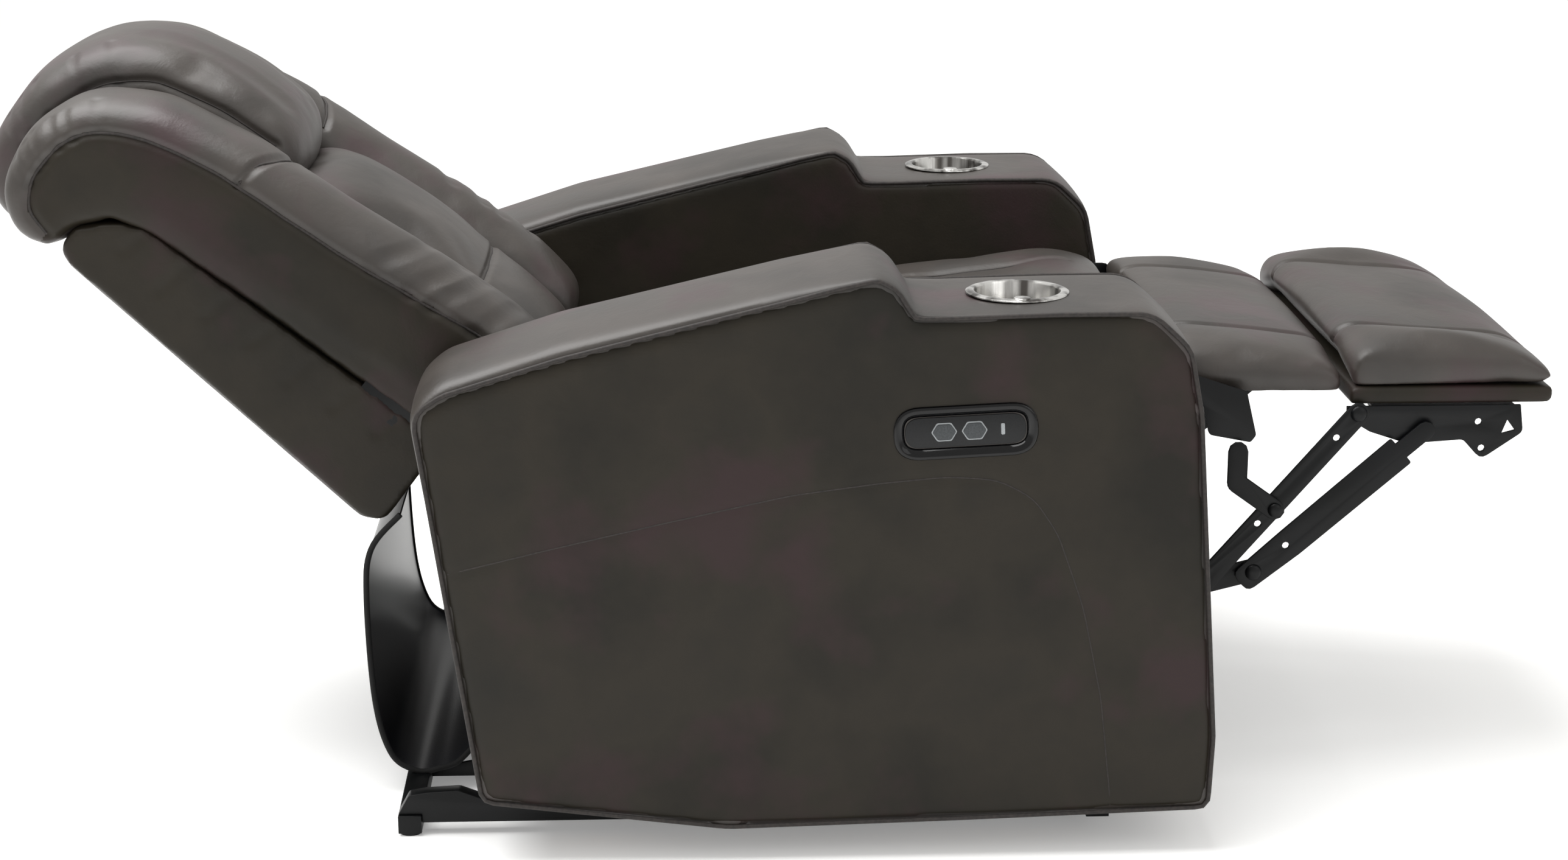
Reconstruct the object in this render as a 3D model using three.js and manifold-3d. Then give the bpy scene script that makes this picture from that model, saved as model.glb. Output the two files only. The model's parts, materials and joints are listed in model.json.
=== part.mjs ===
// Power recliner armchair, shown fully reclined with the footrest out.
// Millimetres, +Z up, the chair faces -Y, the floor is z = 0.
// Side outlines are written as [forward, height] pairs, where forward is -Y.
import * as THREE from "three";
import { mergeVertices } from "three/addons/utils/BufferGeometryUtils.js";
import Module from "manifold-3d";

const wasm = await Module();
wasm.setup();

// ---------- driving dimensions ----------
const seatHalf = 278; // half width of the seat and the back
const sideGap = 8; // seat to each arm
const armWidth = 192;
const armTop = 632; // highest point of the arm
const armFlat = 591; // lower front flat that holds the cup
const armFront = 462;
const armRear = -372;
const armSkin = 6; // thickness of the arm's covered shell
const softRound = 7; // rounding of the arm's long edges

const seatFront = 437;
const seatRear = -156;
const seatTop = 505; // at the front edge
const seatBase = 346; // underside of the cushion
const seatRise = 0.115; // slope of the seat's top

const reclineDeg = 52; // back from the vertical, fully reclined
const backPivot = [-235, 400];
const backLength = 642; // pivot to the top of the wings
const wingInner = 132;
const shellSkin = 3;

const footPivot = [380, 246]; // rear link on the seat's side plate
const rearLinkMid = [480, 232]; // front link on the rear link
const rearLinkEnd = [537, 246]; // stay link on the rear link
const bentPivot = [557, 319]; // bent link on the front link
const ottomanRear = [646, 426]; // front link on the ottoman bracket
const ottomanMid = [721, 406]; // stay link on the ottoman bracket
const chaisePivot = [440, 470];
const ottomanFrom = 634;
const ottomanTo = 866;
const ottomanInset = 8; // its side in from the seat's side
const chaiseInset = 16;
const chaiseFrom = 446;
const chaiseTo = 632;

const plate = 4; // thickness of the steel plates and links
const layerGap = 2; // between one layer of links and the next
const sidePlateInset = 19; // seat's side to the inner face of the side plates
const pinRadius = 5;
const runningGap = 0.3; // clearance between pieces that touch or turn
const leverLength = 60;
const leverDeg = -28; // lever's rest direction below the horizontal
const rodRadius = 9;
const tubeWall = 4;
const torsionRadius = 12;

const railInset = 93; // centre of the floor rails in from the arm's outer face
const railWidth = 18;
const crossSize = 20; // square cross tubes
const footHeight = 2.7; // rear feet
const frontFootHeight = 9.7;
const frontFootInset = 54; // out from the arm's inner face
const crossRear = -402;
const crossFront = 340;
const swingLength = 140;
const swingDeg = 17; // forward lean of the swing arms at rest
const swingBaseZ = 90;
const swingFrontU = 230;
const swingRearU = -200;

const cupRadius = 46; // outside of the cup's wall
const cupLip = 8; // width of the flange round it
const cupDepth = 76;
const cupWall = 1.5;
const cupU = 255;

const panelU = 194;
const panelZ = 466;
const panelLength = 146;
const panelHeight = 54;
const panelTilt = 2.7;
const panelProud = 2;
const bezelSide = 11; // width of the rim round the plate
const buttonLength = 24;
const buttonHeight = 16.5;
const buttonU = [172, 203]; // open and close
const slotU = 232;

const flapSwingGap = 13; // side of the flap to the swing arms
const flapWideTo = -345;
const flapNarrowFrom = -300;
const flapThickness = 3;

// ---------- derived places ----------
const armInner = seatHalf + sideGap;
const armOuter = armInner + armWidth;
const cupX = (armInner + armOuter) / 2;
const cupFlange = cupRadius + cupLip;
const railHalf = armOuter - railInset;
const frontFootX = armInner + frontFootInset;
const ottomanHalf = seatHalf - ottomanInset;
const chaiseHalf = seatHalf - chaiseInset;
const sidePlateAt = seatHalf - sidePlateInset;
const layer = plate + layerGap;
const linkLayer = (n) => sidePlateAt + n * layer; // 0 side plate, 1, 2, 3 outwards, -1, -2 inwards
const shellHalf = linkLayer(1) + plate + shellSkin;
const flapHalf = shellHalf;
const flapNarrowHalf = linkLayer(-1) - flapSwingGap;
const crossTop = footHeight + runningGap + crossSize;
const backRad = THREE.MathUtils.degToRad(reclineDeg);
const boardTop = 455;
const boardBottom = 433;
const chaiseBoardZ = 447;
const chaisePadZ = 459;
const holeRadius = pinRadius + runningGap;

// ---------- materials ----------
const steel = (color, roughness) => new THREE.MeshStandardMaterial({ color, roughness, metalness: 0.8 });
const soft = (color, roughness) => new THREE.MeshStandardMaterial({ color, roughness, metalness: 0 });
const leather = soft("#3b3531", 0.5);
const leatherLit = soft("#4a423d", 0.45);
const blackSteel = steel("#17181a", 0.45);
const brushedSteel = new THREE.MeshStandardMaterial({ color: "#c3c3c0", roughness: 0.3, metalness: 1 });
const pine = soft("#b08a5c", 0.7);
const blackPlastic = soft("#0d0e10", 0.25);
const greyPlastic = soft("#55585c", 0.4);
const blackVinyl = soft("#1b1c1f", 0.35);
const deckFabric = soft("#2a2a2a", 0.9);

// ---------- shape helpers ----------
const barSteps = 5; // facets round each end of a bar

const turned = (x, y, deg) => {
  const a = THREE.MathUtils.degToRad(deg);
  return [x * Math.cos(a) - y * Math.sin(a), x * Math.sin(a) + y * Math.cos(a)];
};

// A closed outline from [u, z, radius] corners; a corner with a radius becomes an arc.
function outline(corners, arcSteps = 3) {
  const points = [];
  corners.forEach(([u, z, radius = 0], i) => {
    const here = new THREE.Vector2(u, z);
    const before = corners[(i + corners.length - 1) % corners.length];
    const after = corners[(i + 1) % corners.length];
    if (radius === 0) {
      points.push(here);
      return;
    }
    const back = new THREE.Vector2(before[0] - u, before[1] - z);
    const ahead = new THREE.Vector2(after[0] - u, after[1] - z);
    const half = back.angleTo(ahead) / 2;
    const reach = Math.min(radius / Math.tan(half), 0.48 * back.length(), 0.48 * ahead.length());
    const start = here.clone().addScaledVector(back.normalize(), reach);
    const end = here.clone().addScaledVector(ahead.normalize(), reach);
    const curve = new THREE.QuadraticBezierCurve(start, here, end);
    points.push(...curve.getPoints(arcSteps));
  });
  return points;
}

// The outline of a flat bar with round ends.
function barOutline([u0, z0], [u1, z1], radius) {
  const along = THREE.MathUtils.radToDeg(Math.atan2(z1 - z0, u1 - u0));
  const points = [];
  for (const [centreU, centreZ, from] of [[u0, z0, 90], [u1, z1, -90]]) {
    for (let i = 0; i <= barSteps; i += 1) {
      const [du, dz] = turned(radius, 0, along + from + (180 * i) / barSteps);
      points.push(new THREE.Vector2(centreU + du, centreZ + dz));
    }
  }
  return points;
}

// The point part of the way from one [u, z] to another.
const between = ([u0, z0], [u1, z1], share) => [u0 + share * (u1 - u0), z0 + share * (z1 - z0)];

const discOutline = ([u, z], radius, sides = 16) => Array.from({ length: sides }, (_, i) => {
  const [du, dz] = turned(radius, 0, (360 * i) / sides);
  return new THREE.Vector2(u + du, z + dz);
});

// Places an XY outline extruded along Z so that it becomes forward, height and X.
function onSide(geometry, x) {
  const basis = new THREE.Matrix4().makeBasis(
    new THREE.Vector3(0, -1, 0), new THREE.Vector3(0, 0, 1), new THREE.Vector3(-1, 0, 0));
  basis.setPosition(x, 0, 0);
  return geometry.applyMatrix4(basis);
}

// A side outline made solid from x0 to x1, with holes and rounded long edges if wanted.
function slab(points, x0, x1, { bevel = 0, bevelSteps = 2, holes = [] } = {}) {
  const shape = new THREE.Shape(points);
  shape.holes = holes.map((h) => new THREE.Path(h));
  const low = Math.min(x0, x1);
  const high = Math.max(x0, x1);
  const geometry = new THREE.ExtrudeGeometry(shape, {
    depth: high - low - 2 * bevel,
    bevelEnabled: bevel > 0,
    bevelSize: bevel,
    bevelOffset: -bevel,
    bevelThickness: bevel,
    bevelSegments: bevelSteps,
    curveSegments: 8,
  });
  return onSide(geometry, high - bevel);
}

const rect = (u0, u1, z0, z1) => outline([[u0, z0], [u1, z0], [u1, z1], [u0, z1]]);
const block = (x0, x1, u0, u1, z0, z1) => slab(rect(u0, u1, z0, z1), x0, x1);

function solid(geometry) {
  const bare = geometry.clone();
  bare.deleteAttribute("normal");
  bare.deleteAttribute("uv");
  const merged = mergeVertices(bare, 1e-3);
  const mesh = new wasm.Mesh({
    numProp: 3,
    vertProperties: merged.attributes.position.array,
    triVerts: new Uint32Array(merged.index.array),
  });
  mesh.merge();
  return new wasm.Manifold(mesh);
}

function geometryOf(manifold) {
  const { vertProperties, triVerts } = manifold.getMesh();
  const geometry = new THREE.BufferGeometry();
  geometry.setAttribute("position", new THREE.BufferAttribute(vertProperties, 3));
  geometry.setIndex(new THREE.BufferAttribute(triVerts, 1));
  return geometry;
}

const joined = (...list) => geometryOf(list.map(solid).reduce((a, b) => a.add(b)));
const cut = (base, ...tools) => geometryOf(tools.map(solid).reduce((a, b) => a.subtract(b), solid(base)));

// The same shape mirrored to the other side of the chair, with its faces kept outwards.
function mirrored(geometry) {
  const copy = geometry.index ? geometry.toNonIndexed() : geometry.clone();
  const position = copy.attributes.position;
  for (let i = 0; i < position.count; i += 3) {
    const x = [0, 1, 2].map((k) => -position.getX(i + k));
    const [a, b, c] = [0, 1, 2].map((k) => [x[k], position.getY(i + k), position.getZ(i + k)]);
    position.setXYZ(i, ...a);
    position.setXYZ(i + 1, ...c);
    position.setXYZ(i + 2, ...b);
  }
  return copy;
}

// ---------- assembly helpers ----------
const chair = new THREE.Group();
chair.name = "recliner";

function add(parent, name, geometry, material) {
  const mesh = new THREE.Mesh(geometry, material);
  mesh.name = name;
  parent.add(mesh);
  return mesh;
}

// geometry is modelled on the +X side, which is the sitter's left.
function addPair(parent, name, geometry, material) {
  add(parent, `${name}_left`, geometry, material);
  add(parent, `${name}_right`, mirrored(geometry), material);
}

const pin = (at, x0, x1, radius = pinRadius) => slab(discOutline(at, radius, 12), x0, x1);

// ---------- base ----------
function base() {
  const group = new THREE.Group();
  const crossHalf = railHalf + railWidth / 2 + 4;
  const crossWidth = crossSize + 5;
  const crossFrontEnd = crossFront + crossWidth;
  for (const [place, u, footX, height] of [
    ["rear", crossRear, railHalf, footHeight],
    ["front", crossFront, frontFootX, frontFootHeight],
  ]) {
    const tube = block(-crossHalf, crossHalf, u, u + crossWidth, height + runningGap, crossTop);
    add(group, `${place}_cross_tube`, tube, blackSteel);
    const foot = new THREE.CylinderGeometry(11, 12, height, 16);
    foot.rotateX(Math.PI / 2);
    foot.translate(footX, -(u + crossWidth / 2), height / 2);
    addPair(group, `${place}_foot`, foot, blackPlastic);
  }

  const rearEnd = crossRear + crossWidth + runningGap;
  const seatOn = crossTop + runningGap;
  const floorRail = outline([
    [crossRear, seatOn], [rearEnd, seatOn], [rearEnd, 14], [crossFront - runningGap, 14],
    [crossFront - runningGap, seatOn], [crossFrontEnd, seatOn], [crossFrontEnd, 36], [-300, 36],
    [-336, 50, 12], [-371, 48], [-390, 45, 6],
  ]);
  const railEdges = [railHalf - railWidth / 2, railHalf + railWidth / 2];
  addPair(group, "base_rail", slab(floorRail, ...railEdges), blackSteel);

  const trackAt = linkLayer(-2);
  const bossHalf = 25;
  const trackLow = 24; // passes under the flap
  const track = outline([
    [rearEnd, 10], [crossFront - runningGap, 10],
    [crossFront - runningGap, seatOn], [crossFrontEnd, seatOn], [crossFrontEnd, 40], [swingFrontU + 60, 55],
    [swingFrontU + bossHalf, swingBaseZ + 16, 8], [swingFrontU - bossHalf, swingBaseZ + 16, 8],
    [swingFrontU - 60, 55], [swingRearU + 60, 55], [swingRearU + bossHalf, swingBaseZ + 16, 8],
    [swingRearU - bossHalf, swingBaseZ + 16, 8], [swingRearU - 60, 50, 12], [flapNarrowFrom, 34, 10],
    [flapWideTo - 10, trackLow], [rearEnd, trackLow],
  ]);
  const pivots = [swingFrontU, swingRearU].map((u) => [u, swingBaseZ]);
  const stubs = pivots.map((p) => pin(p, trackAt + 1, linkLayer(-1) + plate + 1));
  addPair(group, "track_rail", joined(slab(track, trackAt, trackAt + plate), ...stubs), blackSteel);
  return group;
}

// ---------- arms ----------
const armCorners = [
  [-306, 66, 16], [armRear, 494, 42], [-215, 549, 160], [62, armTop - 11, 60], [114, armTop + 3, 24],
  [141, armFlat - 11, 10], [290, armFlat, 60], [armFront - 32, armFlat + 2, 78], [armFront + 6, 110, 60],
  [armFront - 6, 47, 14], [200, 43, 60], [-50, 37, 120],
];
const inset = (corners, d, centre) => corners.map(([u, z, r]) => {
  const du = centre[0] - u;
  const dz = centre[1] - z;
  return [u + d * Math.sign(du), z + d * Math.sign(dz), r];
});

function arms() {
  const group = new THREE.Group();
  const outer = slab(outline(armCorners), armInner, armOuter, { bevel: softRound });
  const roomCorners = inset(armCorners, 2 * armSkin, [80, 300]);
  const room = slab(outline(roomCorners), armInner + armSkin, armOuter - armSkin);
  const way = block(armInner + armSkin + 20, armOuter - armSkin - 20, -260, armFront - 40, 20, 120);
  const cupHole = new THREE.CylinderGeometry(cupRadius + runningGap, cupRadius + runningGap, 60, 28);
  cupHole.rotateX(Math.PI / 2);
  cupHole.translate(cupX, -cupU, armFlat);
  const seat = new THREE.CylinderGeometry(cupFlange + runningGap, cupFlange + runningGap, 40, 28);
  seat.rotateX(Math.PI / 2);
  seat.translate(cupX, -cupU, armFlat - 3.5 + 20);
  const hollow = cut(outer, room, way, cupHole, seat);
  add(group, "arm_cover_left", hollow, leather);

  const bezelOutline = panelOutline(panelLength / 2 + 1, panelHeight / 2 + 1);
  const bezelRoom = slab(bezelOutline, armOuter - 30, armOuter + 10);
  add(group, "arm_cover_right", mirrored(cut(hollow, bezelRoom)), leather);

  const inner = armInner + armSkin + 8;
  const board = 16;
  const foot = [railHalf - railWidth / 2, railHalf + railWidth / 2];
  const sideBoard = outline([
    [-270, 90], [-325, 470, 30], [-200, 525, 60], [100, 596, 20], [128, 560], [380, 560, 60],
    [425, 110, 20], [400, 70],
  ]);
  const frame = joined(
    slab(sideBoard, inner, inner + board),
    block(inner + 2, foot[1] + 40, -240, 390, 72, 90),
    block(foot[0], foot[1], -240, 330, 36 + runningGap, 80),
  );
  addPair(group, "arm_frame", frame, pine);

  const cup = new THREE.LatheGeometry([
    [0, armFlat - cupDepth], [cupRadius - 3, armFlat - cupDepth], [cupRadius, armFlat - cupDepth + 4],
    [cupRadius, armFlat - 3], [cupFlange, armFlat - 3], [cupFlange, armFlat - 1],
    [cupFlange - 3, armFlat + 1],
    [cupRadius - 2 * cupWall, armFlat - 1], [cupRadius - 2 * cupWall, armFlat - cupDepth + 5],
    [cupRadius - 6, armFlat - cupDepth + 2 * cupWall], [0, armFlat - cupDepth + 2 * cupWall],
  ].map(([r, z]) => new THREE.Vector2(r, z)), 28);
  cup.rotateX(Math.PI / 2);
  cup.translate(cupX, -cupU, 0);
  addPair(group, "cup_holder", cup, brushedSteel);
  return group;
}

// ---------- control panel on the right arm, modelled on the left side and mirrored ----------
function panelOutline(halfLength, halfHeight) {
  const flat = outline([
    [-halfLength, -halfHeight, halfHeight], [halfLength, -halfHeight, halfHeight],
    [halfLength, halfHeight, halfHeight], [-halfLength, halfHeight, halfHeight],
  ], 6);
  return tiltOnPanel(flat);
}

function tiltOnPanel(points) {
  return points.map((p) => {
    const [du, dz] = turned(p.x, p.y, panelTilt);
    return new THREE.Vector2(panelU + du, panelZ + dz);
  });
}

const onPanel = (u) => turned(u - panelU, 0, panelTilt);

function buttonOutline(u, grow) {
  const l = buttonLength / 2 + grow;
  const h = buttonHeight / 2 + grow;
  const at = u - panelU;
  return tiltOnPanel(outline([
    [at - l, 0, 2], [at - l * 0.55, -h, 3], [at + l * 0.55, -h, 3],
    [at + l, 0, 2], [at + l * 0.55, h, 3], [at - l * 0.55, h, 3],
  ], 2));
}

function controls() {
  const group = new THREE.Group();
  const face = armOuter + panelProud;
  const [plateLength, plateHeight] = [panelLength / 2 - bezelSide, panelHeight / 2 - bezelSide];
  const rim = slab(panelOutline(panelLength / 2, panelHeight / 2), armOuter - 20, face, {
    holes: [panelOutline(plateLength, plateHeight)],
  });
  add(group, "control_bezel", mirrored(rim), blackPlastic);

  const plateFace = face - 3;
  const slotHalf = 3;
  const slot = tiltOnPanel(outline([
    [slotU - panelU - slotHalf, -7], [slotU - panelU + slotHalf, -7],
    [slotU - panelU + slotHalf, 7], [slotU - panelU - slotHalf, 7],
  ]));
  const fitted = panelOutline(plateLength - runningGap, plateHeight - runningGap);
  const holes = [...buttonU.map((u) => buttonOutline(u, 0.6)), slot];
  const inner = slab(fitted, plateFace - 10, plateFace, { holes });
  add(group, "control_plate", mirrored(inner), blackPlastic);

  ["button_open", "button_close"].forEach((name, i) => {
    const cap = slab(buttonOutline(buttonU[i], 0), plateFace - 9, plateFace + 1.5);
    add(group, name, mirrored(cap), greyPlastic);
  });

  const [du, dz] = onPanel(slotU);
  const socket = slab(rect(-slotHalf + 0.6, slotHalf - 0.6, -6, 6).map((p) => {
    const [u, z] = turned(p.x, p.y, panelTilt);
    return new THREE.Vector2(panelU + du + u, panelZ + dz + z);
  }), plateFace - 9, plateFace - 1);
  add(group, "usb_socket", mirrored(socket), greyPlastic);
  return group;
}

// ---------- swing arms between base and seat ----------
function swing(u) {
  const [du, dz] = turned(0, swingLength, -swingDeg);
  const top = [u + du, swingBaseZ + dz];
  const low = [u, swingBaseZ];
  const at = linkLayer(-1);
  const arm = slab(barOutline(low, top, 13), at, at + plate, { holes: [discOutline(low, holeRadius, 12)] });
  const stub = pin(top, at + 1, at + plate + 1.4);
  const mid = [u + du * 0.45, swingBaseZ + dz * 0.45];
  const rod = slab(discOutline(mid, 9, 12), -at - 1, at + 1);
  return joined(arm, stub, mirrored(joined(arm, stub)), rod);
}

// ---------- seat carriage ----------
function carriage() {
  const group = new THREE.Group();
  const at = linkLayer(0);
  const sidePlate = outline([
    [backPivot[0] - 16, backPivot[1], 14], [backPivot[0] - 10, backPivot[1] + 18, 12],
    [backPivot[0] + 14, backPivot[1] + 18, 12], [-196, 340, 30], [396, 340, 20], [412, 232, 20],
    [footPivot[0], 205, 20], [-170, 205, 20], [-206, 300, 30],
  ]);
  const bracket = outline([
    [378, 292], [404, 292], [404, 438, 14], [chaisePivot[0] - 8, chaisePivot[1] - 15, 8],
    [chaisePivot[0] + 13, chaisePivot[1] - 12, 10], [chaisePivot[0] + 12, chaisePivot[1] + 13, 10],
    [chaisePivot[0] - 14, chaisePivot[1] + 13, 12], [378, 438, 16],
  ]);
  const torsionHole = discOutline(footPivot, torsionRadius + runningGap, 16);
  const body = joined(
    slab(sidePlate, at, at + plate, { holes: [torsionHole] }),
    slab(bracket, linkLayer(1), linkLayer(1) + plate),
    block(at + 1, linkLayer(1) + 1, 382, 400, 298, 330),
    pin(backPivot, at + 1, linkLayer(1) + plate + 1),
    pin(chaisePivot, linkLayer(1) + 1, linkLayer(2) + plate + 1),
  );
  addPair(group, "seat_side_plate", body, blackSteel);

  const crossHalf = at - runningGap;
  add(group, "seat_rear_tube", block(-crossHalf, crossHalf, -196, -171, 262, 287), blackSteel);
  add(group, "seat_front_tube", block(-crossHalf, crossHalf, 322, 347, 279, 304), blackSteel);

  const railTop = seatBase - runningGap;
  addPair(group, "seat_rail", block(at - 24, at - 1, -196, 404, 304 + runningGap, railTop), pine);
  const deckHalf = at - 24 - runningGap;
  add(group, "seat_deck", block(-deckHalf, deckHalf, -190, 400, railTop - 6, railTop), deckFabric);

  const rise = (u) => seatTop - seatRise * (seatFront - u);
  const cushion = outline([
    [-192, seatBase], [-192, 404, 8], [seatRear - 5, 404], [seatRear, rise(seatRear) - 2, 14],
    [250, rise(250) + 8, 200], [seatFront - 40, seatTop + 3, 60], [seatFront, seatTop - 2, 12],
    [seatFront - 3, chaisePivot[1] + 26], [seatFront - 24, chaisePivot[1] + 2, 10],
    [seatFront - 25, seatBase],
  ]);
  const recessTop = chaisePivot[1] + 18;
  const recess = block(linkLayer(1) - 3, seatHalf + 5, 358, seatFront + 5, seatBase - 5, recessTop);
  const padded = cut(slab(cushion, -seatHalf, seatHalf), recess, mirrored(recess));
  add(group, "seat_cushion", padded, leatherLit);
  return group;
}

// ---------- back, modelled upright about its pivot and leant by its group ----------
function back() {
  const group = new THREE.Group();
  group.position.set(0, -backPivot[0], backPivot[1]);
  group.rotation.x = -backRad;
  const top = backLength;

  const bracketAt = linkLayer(1);
  const bracket = outline([
    [-15, -12, 12], [15, -12, 12], [18, 20, 10], [-30, 200, 12], [-88, 200, 8], [-88, 110, 10],
    [-40, 90, 20],
  ]);
  const pivot = discOutline([0, 0], holeRadius, 12);
  const leaf = slab(bracket, bracketAt, bracketAt + plate, { holes: [pivot] });
  addPair(group, "back_bracket", leaf, blackSteel);

  const panelHalf = bracketAt - runningGap;
  add(group, "back_frame", block(-panelHalf, panelHalf, -92, -75, 100, 470), pine);

  const shellOuter = outline([
    [-72, 92], [-186, 92, 16], [-196, 110, 10], [-153, 538, 24], [-116, 538, 20], [-84, 504, 10],
    [-74, 478],
  ]);
  const shellInner = outline([
    [-60, 92 + shellSkin], [-183, 92 + shellSkin, 14], [-193, 111, 10], [-150, 535, 22], [-117, 535, 18],
    [-87, 502, 8], [-77, 478], [-60, 478],
  ]);
  const shell = cut(
    slab(shellOuter, -shellHalf, shellHalf),
    slab(shellInner, -shellHalf + shellSkin - runningGap, shellHalf - shellSkin + runningGap),
  );
  add(group, "outside_back_shell", shell, leather);

  const arcLow = [20, 40, 60].map((deg) => turned(50, 0, deg));
  const wing = outline([
    [-71, 76], [-71, 484], [-80, 520, 10], [-118, 550, 10], [-150, 551, 10], [-156, 572, 16],
    [-132, top - 22, 24], [-70, top + 4, 50], [14, top - 30, 60], [56, 491, 60], [76, 340, 60],
    [95, 100, 50], [84, 26, 24], [66, -6, 10], [50, 2], ...arcLow, [0, 50],
  ]);
  const rebate = outline([[-96, -40], [60, -40], [40, 30], [-14, 216], [-96, 216]]);
  const wingSolid = cut(
    slab(wing, wingInner + runningGap, seatHalf),
    slab(rebate, linkLayer(1) - 2, seatHalf + 5),
  );
  addPair(group, "wing_bolster", wingSolid, leatherLit);

  const lumbar = outline([
    [-71, 76], [-71, 386], [58, 384, 24], [66, 330, 40], [72, 120, 60], [66, 24, 24], [50, 14, 8],
    ...arcLow, [0, 50],
  ]);
  add(group, "lumbar_cushion", slab(lumbar, -wingInner, wingInner), leatherLit);

  const pillow = outline([
    [-71, 392], [62, 390, 20], [100, 408, 24], [92, 480, 60], [78, 580, 50], [46, top - 2, 40],
    [-40, top + 38, 90], [-140, top + 42, 50], [-200, top + 8, 50], [-196, 596, 40], [-152, 551, 10],
    [-118, 551, 10], [-78, 518, 10], [-71, 484],
  ]);
  add(group, "head_pillow", slab(pillow, -wingInner, wingInner), leatherLit);
  return group;
}

// ---------- footrest linkage ----------
function rearLinks() {
  const group = new THREE.Group();
  const at = linkLayer(1);
  const link = joined(
    slab(barOutline(footPivot, rearLinkMid, 15), at, at + plate),
    slab(barOutline(rearLinkMid, rearLinkEnd, 13), at, at + plate),
    pin(rearLinkMid, at + 1, linkLayer(2) + plate + 1),
    pin(rearLinkEnd, at + 1, linkLayer(2) + plate + 1),
  );
  addPair(group, "rear_link", link, blackSteel);

  const half = at - runningGap;
  const [du, dz] = turned(leverLength, 0, leverDeg);
  const leverEnd = [footPivot[0] + du, footPivot[1] + dz];
  const tube = joined(
    slab(discOutline(footPivot, torsionRadius, 16), -half, half),
    slab(barOutline(footPivot, leverEnd, 12), -plate, plate),
  );
  add(group, "torsion_tube", tube, blackSteel);
  return group;
}

function frontLinks() {
  const group = new THREE.Group();
  const at = linkLayer(2);
  const drilled = [0.36, 0.86].map((share) => discOutline(between(rearLinkMid, ottomanRear, share), 4, 8));
  const pivots = [rearLinkMid, ottomanRear].map((p) => discOutline(p, holeRadius, 12));
  const link = joined(
    slab(barOutline(rearLinkMid, ottomanRear, 12), at, at + plate, { holes: [...pivots, ...drilled] }),
    pin(bentPivot, at + 1, linkLayer(3) + plate + 0.8),
  );
  addPair(group, "front_link", link, blackSteel);
  return group;
}

function stayLinks() {
  const group = new THREE.Group();
  const at = linkLayer(2);
  const wideEnd = between(rearLinkEnd, ottomanMid, 0.86);
  const [du, dz] = [ottomanMid[0] - rearLinkEnd[0], ottomanMid[1] - rearLinkEnd[1]];
  const length = Math.hypot(du, dz);
  const aside = (share, side) => {
    const [u, z] = between(rearLinkEnd, wideEnd, share);
    return [u - (side * dz) / length, z + (side * du) / length];
  };
  const holes = [
    discOutline(rearLinkEnd, holeRadius, 12),
    discOutline(between(rearLinkEnd, ottomanMid, 0.19), 4, 8),
  ];
  const channel = outline([
    [...aside(-0.09, -14), 10], [...aside(0.25, -18), 20], [...aside(1, -18), 3],
    [...aside(1, 18), 3], [...aside(0.25, 16), 20], [...aside(-0.09, 14), 10],
  ]);
  const link = joined(
    slab(channel, at, at + plate, { holes }),
    slab(barOutline(wideEnd, ottomanMid, 10), at, at + plate),
    pin(ottomanMid, at - 1.4, at + 1),
  );
  addPair(group, "stay_link", link, blackSteel);
  return group;
}

function bentLinks() {
  const group = new THREE.Group();
  const at = linkLayer(3);
  const knee = [514, 350];
  const topEnd = [514, 386];
  const bars = joined(
    slab(barOutline(bentPivot, knee, 11), at, at + plate),
    slab(barOutline(knee, topEnd, 11), at, at + plate),
    pin(topEnd, at - 1.4, at + 1),
  );
  const drilled = cut(bars, slab(discOutline(bentPivot, holeRadius, 12), at - 1, at + plate + 1));
  addPair(group, "bent_link", drilled, blackSteel);
  return group;
}

function ottoman() {
  const group = new THREE.Group();
  const at = linkLayer(1);
  const under = boardBottom - runningGap;
  const leaf = outline([
    [634, under], [634, 420, 10], [660, 404, 20], [702, 390, 10], [764, 394, 8], [785, 371, 10],
    [830, 402, 8], [826, under],
  ]);
  const holes = [
    discOutline([780, 414], 4, 8),
    discOutline([785, 384], 4, 8),
    outline([[806, 400], [821, 404], [812, 416]]),
  ];
  const bracket = joined(
    slab(leaf, at, at + plate, { holes }),
    block(at - 20, at + 1, 662, 820, under - plate, under),
    pin(ottomanRear, at + 1, linkLayer(2) + plate + 1),
  );
  addPair(group, "ottoman_bracket", bracket, blackSteel);

  const boardSide = outline([
    [ottomanFrom + 2, boardBottom], [ottomanTo - 2, boardBottom, 4],
    [ottomanTo - 2, boardTop - runningGap], [ottomanFrom + 2, boardTop - runningGap],
  ]);
  add(group, "ottoman_board", slab(boardSide, -ottomanHalf + 4, ottomanHalf - 4), leather);

  const pad = outline([
    [ottomanFrom, boardTop, 3], [ottomanTo, boardTop, 3], [ottomanTo, 474, 12], [820, 493, 40],
    [720, 501, 80], [ottomanFrom + 16, 500, 20], [ottomanFrom, 478, 12],
  ]);
  add(group, "ottoman_pad", slab(pad, -ottomanHalf, ottomanHalf), leatherLit);
  return group;
}

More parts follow.
